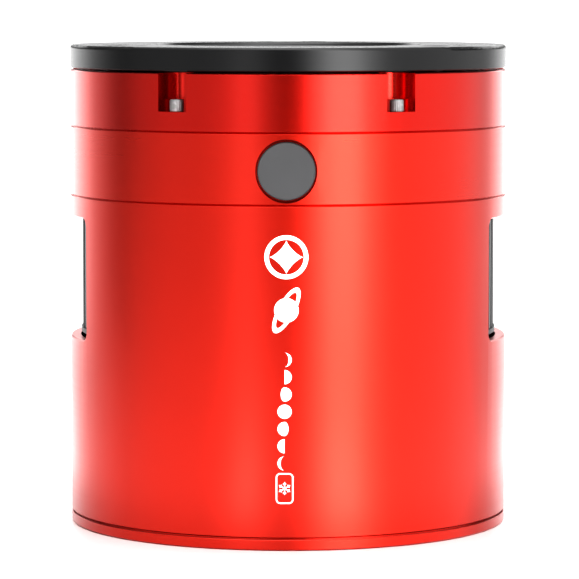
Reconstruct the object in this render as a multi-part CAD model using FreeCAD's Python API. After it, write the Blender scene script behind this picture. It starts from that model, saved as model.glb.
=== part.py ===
"""Cooled astronomy camera: a round aluminium camera that stands on its rear cover, front thread upwards.

Millimetres. The origin is the middle of the rear face and +Z is the optical axis, towards the sky. A bearing is
measured round +Z from -Y, the side with the desiccant plug, towards +X. Every part is written to parts/NODE.step.
"""

import math
import os

import FreeCAD
import Part

V = FreeCAD.Vector
Z_AXIS = V(0, 0, 1)

# ---- outside shape, from the rear face up --------------------------------------------------------------------
BODY_R = 45.0                 # every outer ring has the same radius
EDGE = 0.25                   # chamfer on the outer edges
MOUTH_EDGE = 0.25             # chamfer round the openings in the outer wall
REAR_RIM_TOP = 2.1            # top of the rear cover's visible rim
SHELL_BOTTOM = 2.4            # the shell stands this high, on the cover's neck
HOUSING_BOTTOM = 67.8         # seam between the shell and the sensor chamber
FRONT_BOTTOM = 81.9           # seam between the sensor chamber and the front ring
FRONT_TOP = 93.45
TILT_GAP = 0.32               # free height under the tilt plate
PLATE_BOTTOM = FRONT_TOP + TILT_GAP
PLATE_TOP = 98.5
SENSOR_PLANE = PLATE_TOP - 17.5   # back focus

# ---- tilt plate and its screws -------------------------------------------------------------------------------
THREAD_R = 27.05              # wall of the M54 x 0.75 thread, at its root
THREAD_LEAD_IN = 0.5
PLATE_ROUND = 0.8             # rounded upper edge
ADJUST_R = 37.6               # radius of the adjusting screws
ADJUST_BEARINGS = (60, 180, 300)
ADJUST_SPREAD = 8.0           # each pull or push screw lies this many degrees from the middle of its pair
M3_R = 1.5
PULL_HEAD_R = 2.75
PULL_HEAD_H = 2.0
PULL_SEAT = PLATE_TOP - 2.5      # floor of the counterbore under a pull screw's head
PULL_SLACK = 0.3              # the pull screws are let off by this much, so that the plate can tilt
PULL_TIP = 86.8
PULL_SINK_R = 3.0
PULL_HOLE_R = 1.65
PUSH_TOP = PLATE_TOP - 0.4
PUSH_TIP = FRONT_TOP + 0.05
PUSH_HOLE_R = 1.6
SEAL_R = (32.2, 34.8)
SEAL_SPARE = 0.2              # room left for the foam on every side
SEAL_BOTTOM = FRONT_TOP - 0.85
SEAL_TOP = PLATE_BOTTOM - SEAL_SPARE

# ---- front ring, its screws and the chamber window -------------------------------------------------------------
SLOT_COUNT = 6
SLOT_FIRST = 30.0             # bearing of the first access slot
SLOT_HALF = 3.2
SLOT_END_R = 42.2             # centre of the slot's round end
SLOT_LEDGE = 88.3
SLOT_FLOOR = 85.87
RING_SCREW_R = 43.2
RING_HEAD_R = 1.4
RING_SHANK_R = 0.8
RING_SHANK_TIP = 78.6
RING_HOLE_R = 0.95
RING_TAP_R = 0.85
CHAMBER_R = 36.0
CHAMBER_ROOF = 85.4
SEAT_R = 28.0
SEAT_TOP = 87.0
WINDOW_R = 30.0
WINDOW_T = 2.0
WINDOW_POCKET_R = 30.25
FRONT_BORE_R = 31.8
RETAINER_R = (27.8, 31.7)
RETAINER_T = 1.5
RETAINER_SLOT = (1.4, 0.8)    # width and depth of the spanner slots
WINDOW_RING_R = 29.2
WINDOW_RING_WIRE = 0.43
HEATER_R = (26.2, 27.8)
HEATER_T = 0.15

# ---- sensor chamber --------------------------------------------------------------------------------------------
CHAMBER_FLOOR = 70.8
FLOOR_HOLE = 42.0
FLOOR_HOLE_CORNER = 3.0
SPIGOT_R = (41.3, 42.9)       # register that centres the shell
SPIGOT_BOTTOM = 65.8
CHAMBER_RING_R = 38.0
CHAMBER_RING_WIRE = 0.6
PLUG_Z = 74.5
PLUG_MOUTH_R = 6.0
PLUG_MOUTH_DEPTH = 2.6
PLUG_HEAD_R = 5.7
PLUG_HEAD_FACE = 44.55        # distance of the plug's flat face from the camera's axis
PLUG_HEAD_T = 1.9
PLUG_BORE_R = 5.0
PLUG_STEM_R = 4.92
PLUG_STEM_END = 35.4
PLUG_HOLLOW_R = 3.7
PLUG_GRILLE_T = 0.8
PLUG_GRILLE_HOLE_R = 0.5
PLUG_RING = (4.64, 0.33)      # radius and half thickness of its O-ring
PLUG_RING_AT = 40.2
TABLET_R = 3.6
TABLET_T = 2.6

# ---- sensor stack ----------------------------------------------------------------------------------------------
DIE = (37.6, 25.4, 0.8)
PACKAGE = (47.0, 35.0)
PACKAGE_BOTTOM = 79.0
PACKAGE_TOP = 81.7
PACKAGE_WELL = (41.0, 29.0)
GLASS = (43.5, 31.5, 0.7)
BOARD_T = 1.6
SENSOR_BOARD_R = 33.5
BOARD_HOLE = (29.0, 23.0)
POST_AT = (10.5, 28.9)
POST_R = 2.2
POST_SCREW_R = 1.0
POST_HEAD = (1.9, 1.2)
PAD_T = 0.4
FINGER = (27.0, 21.0)
FINGER_FOOT = (29.0, 29.0, 1.5)

# ---- Peltier cooler --------------------------------------------------------------------------------------------
TEC_BOTTOM = 68.5
TEC_PLATE_T = 0.8
TEC_PLATES = (40.0, 40.0, 30.0)
TEC_PELLET = (1.6, (1.4, 1.2))   # pellet width, and the height of each stage
TEC_COUNTS = (10, 7)
FOAM_R = 34.5
FOAM_TOP = 76.6

# ---- heat sink -------------------------------------------------------------------------------------------------
SINK_R = 41.0
SINK_BOTTOM = 63.6
SINK_TOP = 67.0
FIN_R = 42.55
FIN_BOTTOM = 40.4
FIN_T = 1.0
FIN_PITCH = 3.2
PEDESTAL = 40.4
ROD_CUT_R = 3.2
SINK_SCREW_R = 33.0
SINK_HEAD_CUT_R = 3.4
GASKET_R = 35.4

# ---- shell -----------------------------------------------------------------------------------------------------
SHELL_INNER_R = 43.0
VENT_HALF = 18.95
VENT_BOTTOM = 38.7
VENT_TOP = 63.5
VENT_CORNER = 1.8
ROD_AT = (30.5, 24.7)
ROD_ACROSS = 5.0              # across the flats of the hexagon
ROD_STUD_TOP = 72.3
ROD_TAP_TOP = 12.0
BAFFLE_R = 42.85
BAFFLE_T = 1.0

# ---- fan -------------------------------------------------------------------------------------------------------
FAN_Y = 4.0
FAN_SIZE = 50.0
FAN_BOTTOM = 3.4
FAN_H = 15.0
FAN_BORE_R = 23.5
FAN_FLANGE = 3.0
FAN_BARREL_R = 24.8
FAN_HOLE_AT = 20.0
FAN_HOLE_R = 1.55
FAN_CORNER = 3.0
HUB_R = 12.0
HUB_BOTTOM = 4.4
HUB_TOP = 14.4
HUB_WALL = 1.0
BLADES = 7
BLADE_TIP_R = 22.8
BLADE_T = 1.1
BLADE_PITCH = 38.0
SHAFT_R = 1.5
SHAFT_TOP = 17.2
BEARING_R = (1.56, 2.9)
BEARING_TUBE_R = 3.6
BEARING_BOTTOM = 7.0
MAGNET_R = (10.0, 10.95)
STATOR_R = 9.3
STRUT_W = 2.4
STRUTS = 4
DUCT = 51.0
DUCT_WALL = 1.2
DUCT_CORNER = 6.0

# ---- main board and ports ----------------------------------------------------------------------------------------
MAIN_BOARD = (54.0, 6.0, 38.4)   # width, bottom and top
BOARD_FRONT = -24.0           # the face that carries the ports
PORT_MOUTH = 0.5
PORT_GAP = 0.3                # clearance of a port in the rear cover
PORT_BACK = 0.2               # the ports stand off the board
USB_A = (13.1, 5.8, 14.0)
USB_A_X = 20.4
USB_B = (12.1, 11.0, 17.0)
USB_B_X = -5.8
DC_X = 7.35
DC = (9.0, 11.0, 13.5)
DC_NOSE_R = 3.9
DC_BORE_R = 2.9
DC_PIN_R = 1.0
METAL = 0.35
BOARD_SCREW_AT = (17.5, 21.2)
BOARD_BOSS = (2.6, -18.3)     # radius of the duct's bosses, and how far they reach in
RIBBON_Y = -32.7
RIBBON_HALF = 6.0
RIBBON_T = 0.3
FEEDTHROUGH = (6.5, -34.5, -31.0, 66.2, 74.0)

# ---- rear cover --------------------------------------------------------------------------------------------------
NECK_R = 44.3
COVER_SPIGOT_R = (41.5, 42.9)
COVER_SPIGOT_TOP = 5.0
GRILLE_EYE_R = 5.0
GRILLE_RINGS = 5
GRILLE_SLOT = 2.2
GRILLE_RIB = 1.4
GRILLE_SPOKES = 6
GRILLE_SPOKE_W = 1.8
COUNTERSINK_R = 2.95
SCREW_GAP = 0.1


def polar(radius, bearing, z=0.0):
    """The point at that radius and bearing."""
    a = math.radians(bearing)
    return V(radius * math.sin(a), -radius * math.cos(a), z)


def cylinder(radius, bottom, top, x=0.0, y=0.0):
    return Part.makeCylinder(radius, top - bottom, V(x, y, bottom))


def tube(inner, outer, bottom, top, x=0.0, y=0.0):
    return cylinder(outer, bottom, top, x, y).cut(cylinder(inner, bottom - 1, top + 1, x, y))


def box(x0, x1, y0, y1, z0, z1):
    return Part.makeBox(x1 - x0, y1 - y0, z1 - z0, V(x0, y0, z0))


def block(width, depth, bottom, top, x=0.0, y=0.0, corner=0.0):
    """An upright block, centred on x, y, with rounded vertical edges."""
    made = box(x - width / 2, x + width / 2, y - depth / 2, y + depth / 2, bottom, top)
    if corner:
        upright = [e for e in made.Edges if abs(e.tangentAt(e.FirstParameter).z) > 0.99]
        made = made.makeFillet(corner, upright)
    return made


def turned(outline):
    """A solid of revolution about Z from a closed outline of (radius, z) corners."""
    points = [V(r, 0, z) for r, z in outline]
    face = Part.Face(Part.makePolygon(points + points[:1]))
    return face.revolve(V(0, 0, 0), Z_AXIS, 360)


def ring_outline(inner, outer, bottom, top):
    """The outline of a ring whose two outer edges are chamfered."""
    return [
        (inner, bottom), (outer - EDGE, bottom), (outer, bottom + EDGE),
        (outer, top - EDGE), (outer - EDGE, top), (inner, top),
    ]


def o_ring(radius, wire, z):
    return Part.makeTorus(radius, wire, V(0, 0, z))


def hexagon(across, bottom, top, x=0.0, y=0.0):
    """An upright hexagonal prism."""
    r = across / math.sqrt(3)
    points = [V(x + r * math.cos(math.radians(60 * k)), y + r * math.sin(math.radians(60 * k)), bottom)
              for k in range(7)]
    return Part.Face(Part.makePolygon(points)).extrude(V(0, 0, top - bottom))


def cap_screw(head_r, head_bottom, head_top, shank_r, tip, socket, socket_depth, x, y):
    """A socket screw, head up, with a chamfered rim and a hexagonal socket."""
    rim = 0.2
    outline = [
        (0, tip), (shank_r - rim, tip), (shank_r, tip + rim), (shank_r, head_bottom),
        (head_r, head_bottom), (head_r, head_top - rim), (head_r - rim, head_top), (0, head_top),
    ]
    made = turned(outline)
    made.translate(V(x, y, 0))
    return made.cut(hexagon(socket, head_top - socket_depth, head_top + 1, x, y))


def countersunk_screw(tip, x, y):
    """An M3 countersunk screw that points up, with its head in the rear cover."""
    face, depth = 0.15, 1.65
    outline = [
        (0, face), (COUNTERSINK_R - SCREW_GAP, face), (M3_R, face + depth),
        (M3_R, tip - 0.3), (M3_R - 0.3, tip), (0, tip),
    ]
    made = turned(outline)
    made.translate(V(x, y, 0))
    return made.cut(hexagon(2.0, face - 1, face + 1.3, x, y))


def countersunk_hole(top, x, y):
    """What is cut from the rear cover for an M3 countersunk screw."""
    outline = [
        (0, -0.1), (COUNTERSINK_R, -0.1), (COUNTERSINK_R, 0.15),
        (M3_R + SCREW_GAP, 1.8), (M3_R + SCREW_GAP, top), (0, top),
    ]
    made = turned(outline)
    made.translate(V(x, y, 0))
    return made


def break_edges(shape, size, chosen):
    """shape with a chamfer on those edges of its outer wall that chosen(box of the edge) picks."""
    def on_wall(edge):
        first, last = edge.FirstParameter, edge.LastParameter
        points = [edge.valueAt(first + (last - first) * k / 4) for k in range(5)]
        return all(abs(math.hypot(p.x, p.y) - BODY_R) < 0.001 for p in points)
    return shape.makeChamfer(size, [e for e in shape.Edges if on_wall(e) and chosen(e.BoundBox)])


def four(x, y, make):
    """make(x, y) at the four mirrored places."""
    return [make(sx * x, sy * y) for sx in (-1, 1) for sy in (-1, 1)]


def rod_clearance():
    """Slots, open outwards, that let the tie rods past the heat sink, the baffle and the spigots."""
    def slot(x, y):
        out = math.copysign(BODY_R + 5, x)
        low, high = sorted((x, out))
        return cylinder(ROD_CUT_R, 0, BODY_R * 2, x, y).fuse(
            box(low, high, y - ROD_CUT_R, y + ROD_CUT_R, 0, BODY_R * 2))
    return Part.makeCompound(four(ROD_AT[0], ROD_AT[1], slot))


def slots_round():
    return [SLOT_FIRST + 360.0 / SLOT_COUNT * k for k in range(SLOT_COUNT)]


def screw_bearings(side):
    """Bearings of the pull screws (side -1) or the push screws (side 1)."""
    return [b + side * ADJUST_SPREAD for b in ADJUST_BEARINGS]


def fin_positions():
    """The y of each fin's middle."""
    reach = int((SINK_R - FIN_T) / FIN_PITCH)
    return [k * FIN_PITCH for k in range(-reach, reach + 1)]


# ---- front end -------------------------------------------------------------------------------------------------
def tilt_plate():
    """Black plate with the camera thread. It floats above the front ring on three pairs of screws."""
    plate = turned([
        (THREAD_R, PLATE_BOTTOM + THREAD_LEAD_IN), (THREAD_R + THREAD_LEAD_IN, PLATE_BOTTOM),
        (BODY_R - EDGE, PLATE_BOTTOM), (BODY_R, PLATE_BOTTOM + EDGE), (BODY_R, PLATE_TOP),
        (THREAD_R + THREAD_LEAD_IN, PLATE_TOP), (THREAD_R, PLATE_TOP - THREAD_LEAD_IN),
    ])
    rim = [e for e in plate.Edges
           if e.BoundBox.ZLength < 0.01 and abs(e.BoundBox.ZMax - PLATE_TOP) < 0.01
           and e.BoundBox.XMax > BODY_R - 0.01]
    plate = plate.makeFillet(PLATE_ROUND, rim)
    for b in screw_bearings(-1):
        p = polar(ADJUST_R, b)
        plate = plate.cut(cylinder(PULL_HOLE_R, PLATE_BOTTOM - 1, PLATE_TOP + 1, p.x, p.y))
        plate = plate.cut(cylinder(PULL_SINK_R, PULL_SEAT, PLATE_TOP + 1, p.x, p.y))
    for b in screw_bearings(1):
        p = polar(ADJUST_R, b)
        plate = plate.cut(cylinder(PUSH_HOLE_R, PLATE_BOTTOM - 1, PLATE_TOP + 1, p.x, p.y))
    return plate


def pull_screw(bearing):
    """Low-head M3 socket screw that draws the tilt plate towards the front ring."""
    p = polar(ADJUST_R, bearing)
    seat = PULL_SEAT + PULL_SLACK
    return cap_screw(PULL_HEAD_R, seat, seat + PULL_HEAD_H, M3_R, PULL_TIP, 2.0, 1.2, p.x, p.y)


def push_screw(bearing):
    """M3 set screw that stands on the front ring and lifts the tilt plate."""
    p = polar(ADJUST_R, bearing)
    cone = 0.4
    outline = [
        (0, PUSH_TIP), (M3_R - cone, PUSH_TIP), (M3_R, PUSH_TIP + cone),
        (M3_R, PUSH_TOP - 0.2), (M3_R - 0.2, PUSH_TOP), (0, PUSH_TOP),
    ]
    made = turned(outline)
    made.translate(V(p.x, p.y, 0))
    return made.cut(hexagon(1.5, PUSH_TOP - 1.6, PUSH_TOP + 1, p.x, p.y))


def tilt_seal():
    """Foam ring that keeps light out of the gap under the tilt plate."""
    return tube(SEAL_R[0], SEAL_R[1], SEAL_BOTTOM, SEAL_TOP)


def access_slot(bearing):
    """What is cut from the front ring for one screw: an open slot, and a pocket under it for the screw's head."""
    top = FRONT_TOP + 1
    out = BODY_R + 2
    upper = cylinder(SLOT_HALF, SLOT_LEDGE, top, 0, -SLOT_END_R).fuse(
        box(-SLOT_HALF, SLOT_HALF, -out, -SLOT_END_R, SLOT_LEDGE, top))
    lower = cylinder(SLOT_HALF, SLOT_FLOOR, SLOT_LEDGE + 0.5, 0, -RING_SCREW_R).fuse(
        box(-SLOT_HALF, SLOT_HALF, -out, -RING_SCREW_R, SLOT_FLOOR, SLOT_LEDGE + 0.5))
    hole = cylinder(RING_HOLE_R, FRONT_BOTTOM - 1, SLOT_FLOOR + 0.5, 0, -RING_SCREW_R)
    made = upper.fuse(lower).fuse(hole)
    made.rotate(V(0, 0, 0), Z_AXIS, bearing)
    return made


def front_ring():
    """Red ring that holds the chamber window and carries the tilt plate."""
    ring = turned([
        (CHAMBER_R, FRONT_BOTTOM), (BODY_R - EDGE, FRONT_BOTTOM), (BODY_R, FRONT_BOTTOM + EDGE),
        (BODY_R, FRONT_TOP - EDGE), (BODY_R - EDGE, FRONT_TOP), (FRONT_BORE_R, FRONT_TOP),
        (FRONT_BORE_R, SEAT_TOP + WINDOW_T), (WINDOW_POCKET_R, SEAT_TOP + WINDOW_T),
        (WINDOW_POCKET_R, SEAT_TOP), (SEAT_R, SEAT_TOP), (SEAT_R, CHAMBER_ROOF), (CHAMBER_R, CHAMBER_ROOF),
    ])
    ring = ring.cut(tube(WINDOW_RING_R - 0.6, WINDOW_RING_R + 0.6, SEAT_TOP - 0.9, SEAT_TOP + 0.5))
    ring = ring.cut(tube(SEAL_R[0] - SEAL_SPARE, SEAL_R[1] + SEAL_SPARE, SEAL_BOTTOM - SEAL_SPARE, FRONT_TOP + 1))
    for b in slots_round():
        ring = ring.cut(access_slot(b))
    for b in screw_bearings(-1):
        p = polar(ADJUST_R, b)
        ring = ring.cut(cylinder(PULL_HOLE_R, PULL_TIP - 0.5, FRONT_TOP + 1, p.x, p.y))
    return ring


def ring_screws():
    """Small-head socket screws that hold the front ring down on the sensor chamber."""
    made = []
    for b in slots_round():
        p = polar(RING_SCREW_R, b)
        made.append(cap_screw(RING_HEAD_R, SLOT_FLOOR, SLOT_LEDGE, RING_SHANK_R, RING_SHANK_TIP, 1.3, 1.0, p.x, p.y))
    return Part.makeCompound(made)


def window_retainer():
    """Black threaded ring that clamps the window, with two slots for a spanner."""
    bottom = SEAT_TOP + WINDOW_T + 0.05
    top = bottom + RETAINER_T
    ring = tube(RETAINER_R[0], RETAINER_R[1], bottom, top)
    half, depth = RETAINER_SLOT[0] / 2, RETAINER_SLOT[1]
    return ring.cut(box(-half, half, -BODY_R, BODY_R, top - depth, top + 1))


# ---- sensor chamber --------------------------------------------------------------------------------------------
def radial(radius, near, far):
    """A cylinder on the plug's axis, between two distances from the camera's axis, on the -Y side."""
    return Part.makeCylinder(radius, far - near, V(0, -far, PLUG_Z), V(0, 1, 0))


def chamber_housing():
    """Red cup under the front ring. Its floor is open for the Peltier cooler and closed by the heat sink."""
    body = turned([
        (CHAMBER_R, CHAMBER_FLOOR), (CHAMBER_R, FRONT_BOTTOM), (BODY_R - EDGE, FRONT_BOTTOM),
        (BODY_R, FRONT_BOTTOM - EDGE), (BODY_R, HOUSING_BOTTOM + EDGE), (BODY_R - EDGE, HOUSING_BOTTOM),
        (0, HOUSING_BOTTOM), (0, CHAMBER_FLOOR),
    ])
    body = body.fuse(tube(SPIGOT_R[0], SPIGOT_R[1], SPIGOT_BOTTOM, HOUSING_BOTTOM + 0.5).cut(
        rod_clearance().common(cylinder(BODY_R * 2, 0, HOUSING_BOTTOM))))
    body = body.cut(block(FLOOR_HOLE, FLOOR_HOLE, HOUSING_BOTTOM - 1, CHAMBER_FLOOR + 1, corner=FLOOR_HOLE_CORNER))
    body = body.cut(tube(CHAMBER_RING_R - 0.8, CHAMBER_RING_R + 0.8, FRONT_BOTTOM - 1.15, FRONT_BOTTOM + 1))
    body = body.cut(radial(PLUG_BORE_R, CHAMBER_R - 2, BODY_R))
    body = body.cut(radial(PLUG_MOUTH_R, BODY_R - PLUG_MOUTH_DEPTH, BODY_R + 1))
    body = body.cut(Part.makeCone(
        PLUG_MOUTH_R, PLUG_MOUTH_R + 2 * MOUTH_EDGE, 1.0, V(0, -BODY_R + 0.5, PLUG_Z), V(0, -1, 0)))
    for b in slots_round():
        p = polar(RING_SCREW_R, b)
        body = body.cut(cylinder(RING_TAP_R, RING_SHANK_TIP - 0.3, FRONT_BOTTOM + 1, p.x, p.y))
    for hole in four(ROD_AT[0], ROD_AT[1], lambda x, y: cylinder(
            M3_R + 0.05, HOUSING_BOTTOM - 1, ROD_STUD_TOP + 0.3, x, y)):
        body = body.cut(hole)
    for k in range(4):
        p = polar(SINK_SCREW_R, 45 + 90 * k)
        body = body.cut(cylinder(M3_R + 0.05, HOUSING_BOTTOM - 1, CHAMBER_FLOOR + 1, p.x, p.y))
    for hole in four(POST_AT[0], POST_AT[1], lambda x, y: cylinder(
            POST_SCREW_R + 0.05, HOUSING_BOTTOM + 0.8, CHAMBER_FLOOR + 1, x, y)):
        body = body.cut(hole)
    half, y0, y1 = FEEDTHROUGH[:3]
    return body.cut(box(-half, half, y0, y1, HOUSING_BOTTOM - 1, CHAMBER_FLOOR + 1))


def desiccant_plug():
    """Black stopper with a flat face, and a hollow stem that holds the drying tablets behind a small grille."""
    plug = radial(PLUG_HEAD_R, PLUG_HEAD_FACE - PLUG_HEAD_T, PLUG_HEAD_FACE)
    plug = plug.fuse(radial(PLUG_STEM_R, PLUG_STEM_END, PLUG_HEAD_FACE - PLUG_HEAD_T))
    face = [e for e in plug.Edges if abs(e.BoundBox.YMin + PLUG_HEAD_FACE) < 0.01 and e.BoundBox.YLength < 0.01]
    plug = plug.makeChamfer(0.2, face)
    plug = plug.cut(radial(PLUG_HOLLOW_R, PLUG_STEM_END + PLUG_GRILLE_T, PLUG_HEAD_FACE - PLUG_HEAD_T))
    radius, wire = PLUG_RING
    groove = radial(PLUG_STEM_R + 1, PLUG_RING_AT - wire - 0.1, PLUG_RING_AT + wire + 0.1)
    groove = groove.cut(radial(radius - wire - 0.01, PLUG_RING_AT - 2, PLUG_RING_AT + 2))
    plug = plug.cut(groove)
    for reach, count in ((0, 1), (2.2, 6)):
        for k in range(count):
            a = 2 * math.pi * k / count
            hole = radial(PLUG_GRILLE_HOLE_R, PLUG_STEM_END - 1, PLUG_STEM_END + PLUG_GRILLE_T + 0.5)
            hole.translate(V(reach * math.cos(a), 0, reach * math.sin(a)))
            plug = plug.cut(hole)
    return plug


def plug_o_ring():
    return Part.makeTorus(PLUG_RING[0], PLUG_RING[1], V(0, -PLUG_RING_AT, PLUG_Z), V(0, 1, 0))


def desiccant_tablets():
    """Two white tablets in the plug's stem."""
    start = PLUG_STEM_END + PLUG_GRILLE_T + 0.1
    return Part.makeCompound([radial(TABLET_R, start + k * (TABLET_T + 0.1), start + k * (TABLET_T + 0.1) + TABLET_T)
                              for k in range(2)])


def sensor_package():
    """Ceramic frame with a well for the sensor die."""
    body = block(PACKAGE[0], PACKAGE[1], PACKAGE_BOTTOM, PACKAGE_TOP, corner=0.6)
    return body.cut(block(PACKAGE_WELL[0], PACKAGE_WELL[1], SENSOR_PLANE - DIE[2], PACKAGE_TOP + 1, corner=0.8))


def sensor_board():
    """Round circuit board that carries the sensor, with a window for the cold finger."""
    board = cylinder(SENSOR_BOARD_R, PACKAGE_BOTTOM - BOARD_T, PACKAGE_BOTTOM)
    board = board.cut(block(BOARD_HOLE[0], BOARD_HOLE[1], 0, BODY_R * 2, corner=1.0))
    for hole in four(POST_AT[0], POST_AT[1], lambda x, y: cylinder(POST_SCREW_R + 0.1, 0, BODY_R * 2, x, y)):
        board = board.cut(hole)
    return board


def board_posts():
    bottom, top = CHAMBER_FLOOR, PACKAGE_BOTTOM - BOARD_T
    return Part.makeCompound(four(POST_AT[0], POST_AT[1], lambda x, y: tube(
        POST_SCREW_R + 0.05, POST_R, bottom, top, x, y)))


def board_screws():
    head_r, head_h = POST_HEAD
    return Part.makeCompound(four(POST_AT[0], POST_AT[1], lambda x, y: cap_screw(
        head_r, PACKAGE_BOTTOM, PACKAGE_BOTTOM + head_h, POST_SCREW_R, HOUSING_BOTTOM + 1.2, 1.3, 0.7, x, y)))


def finger_top():
    return PACKAGE_BOTTOM - PAD_T


def peltier_levels():
    """Bottom of each ceramic plate, from the hot side up."""
    first = TEC_BOTTOM
    second = first + TEC_PLATE_T + TEC_PELLET[1][0]
    return first, second, second + TEC_PLATE_T + TEC_PELLET[1][1]


def cold_finger():
    """Aluminium block from the Peltier cooler's cold side to the back of the sensor."""
    foot = peltier_levels()[2] + TEC_PLATE_T
    block_up = block(FINGER[0], FINGER[1], foot, finger_top(), corner=1.0)
    return block_up.fuse(block(FINGER_FOOT[0], FINGER_FOOT[1], foot, foot + FINGER_FOOT[2], corner=1.5)).removeSplitter()


def peltier_plates():
    return Part.makeCompound([block(w, w, z, z + TEC_PLATE_T) for w, z in zip(TEC_PLATES, peltier_levels())])


def peltier_pellets():
    """Both stages' semiconductor posts, in square grids between the ceramic plates."""
    made = []
    for stage, (count, bottom) in enumerate(zip(TEC_COUNTS, peltier_levels())):
        pitch = (TEC_PLATES[stage + 1] - 2.0) / count
        low = bottom + TEC_PLATE_T
        for i in range(count):
            for j in range(count):
                x, y = ((n - (count - 1) / 2) * pitch for n in (i, j))
                made.append(block(TEC_PELLET[0], TEC_PELLET[0], low, low + TEC_PELLET[1][stage], x, y))
    return Part.makeCompound(made)


def cooler_foam():
    """Insulating foam that fills the chamber round the cooler and the cold finger."""
    foam = cylinder(FOAM_R, CHAMBER_FLOOR + 0.1, FOAM_TOP)
    foam = foam.cut(block(TEC_PLATES[0] + 1.0, TEC_PLATES[0] + 1.0, 0, peltier_levels()[2], corner=1.0))
    foam = foam.cut(block(TEC_PLATES[2] + 1.0, TEC_PLATES[2] + 1.0, 0, FOAM_TOP + 1, corner=1.0))
    for hole in four(POST_AT[0], POST_AT[1], lambda x, y: cylinder(POST_R + 0.3, 0, BODY_R * 2, x, y)):
        foam = foam.cut(hole)
    for k in range(4):
        p = polar(SINK_SCREW_R, 45 + 90 * k)
        foam = foam.cut(cylinder(M3_R + 0.5, 0, BODY_R * 2, p.x, p.y))
    half, y0, y1 = FEEDTHROUGH[:3]
    return foam.cut(box(-half - 0.3, half + 0.3, -BODY_R, y1 + 0.3, 0, FOAM_TOP + 1))


def feedthrough():
    """Potted connector that takes the sensor's signals through the chamber floor."""
    half, y0, y1, z0, z1 = FEEDTHROUGH
    return box(-half + 0.05, half - 0.05, y0 + 0.05, y1 - 0.05, z0, z1)


def sensor_ribbon():
    """Flat cable from the feedthrough, down through a slot in the heat sink, to its socket on the main board."""
    end_y = BOARD_FRONT - 2.0
    route = [(RIBBON_Y, FEEDTHROUGH[3]), (RIBBON_Y, 50.0), (end_y, 42.5), (end_y, 36.2)]
    strip = None
    for (y0, z0), (y1, z1) in zip(route, route[1:]):
        length = math.hypot(y1 - y0, z1 - z0)
        run = box(-RIBBON_HALF, RIBBON_HALF, -RIBBON_T / 2, RIBBON_T / 2, 0, length)
        run.rotate(V(0, 0, 0), V(1, 0, 0), math.degrees(math.atan2(y0 - y1, z1 - z0)))
        run.translate(V(0, y0, z0))
        bend = Part.makeCylinder(RIBBON_T / 2, 2 * RIBBON_HALF, V(-RIBBON_HALF, y1, z1), V(1, 0, 0))
        run = run if (y1, z1) == route[-1] else run.fuse(bend)
        strip = run if strip is None else strip.fuse(run)
    return strip.removeSplitter()


# ---- heat sink and air path --------------------------------------------------------------------------------------
def heat_sink():
    """Black extruded heat sink. Its fins run along X, so the air leaves by the two side vents."""
    base = cylinder(SINK_R, SINK_BOTTOM, SINK_TOP)
    pedestal = block(PEDESTAL, PEDESTAL, SINK_TOP - 0.5, TEC_BOTTOM, corner=2.0)
    made = base.fuse(pedestal)
    for y in fin_positions():
        fin = box(-BODY_R, BODY_R, y - FIN_T / 2, y + FIN_T / 2, FIN_BOTTOM, SINK_BOTTOM + 0.5)
        made = made.fuse(fin.common(cylinder(FIN_R, FIN_BOTTOM, SINK_BOTTOM + 0.5)))
    over = tube(SINK_R, BODY_R, SINK_BOTTOM, SINK_TOP)
    made = made.cut(over)
    made = made.cut(rod_clearance())
    for k in range(4):
        p = polar(SINK_SCREW_R, 45 + 90 * k)
        made = made.cut(cylinder(SINK_HEAD_CUT_R, 0, SINK_BOTTOM, p.x, p.y))
        made = made.cut(cylinder(M3_R + SCREW_GAP, 0, BODY_R * 2, p.x, p.y))
    half = FEEDTHROUGH[0] + 1.5
    made = made.cut(box(-half, half, -36.0, BOARD_FRONT - 1.0, 0, SINK_BOTTOM))
    return made.cut(box(-half, half, -36.0, -29.8, 0, BODY_R * 2))


def sink_screws():
    """M3 screws, heads down between the fins, that pull the heat sink up against the chamber floor."""
    made = []
    for k in range(4):
        p = polar(SINK_SCREW_R, 45 + 90 * k)
        screw = cap_screw(PULL_HEAD_R, 0, 2.5, M3_R, -CHAMBER_FLOOR + SINK_BOTTOM + 0.4, 2.0, 1.3, 0, 0)
        screw.rotate(V(0, 0, 0), V(1, 0, 0), 180)
        screw.translate(V(p.x, p.y, SINK_BOTTOM))
        made.append(screw)
    return Part.makeCompound(made)


def sink_gasket():
    """Silicone gasket that closes the chamber against the heat sink."""
    ring = cylinder(GASKET_R, SINK_TOP, HOUSING_BOTTOM)
    ring = ring.cut(block(FLOOR_HOLE, FLOOR_HOLE, 0, BODY_R * 2, corner=FLOOR_HOLE_CORNER))
    for k in range(4):
        p = polar(SINK_SCREW_R, 45 + 90 * k)
        ring = ring.cut(cylinder(M3_R + 0.3, 0, BODY_R * 2, p.x, p.y))
    half = FEEDTHROUGH[0] + 1.5
    return ring.cut(box(-half, half, -BODY_R, -29.8, 0, BODY_R * 2))


def main_shell():
    """Red tube round the heat sink, the fan and the electronics, with an air vent on each side."""
    tube_body = turned(ring_outline(SHELL_INNER_R, BODY_R, SHELL_BOTTOM, HOUSING_BOTTOM))
    vent = box(-BODY_R - 5, BODY_R + 5, -VENT_HALF, VENT_HALF, VENT_BOTTOM, VENT_TOP)
    along = [e for e in vent.Edges if e.BoundBox.XLength > BODY_R]
    shell = tube_body.cut(vent.makeFillet(VENT_CORNER, along))
    return break_edges(shell, MOUTH_EDGE, lambda b: b.ZMin > VENT_BOTTOM - 1 and b.ZMax < VENT_TOP + 1)


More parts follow.
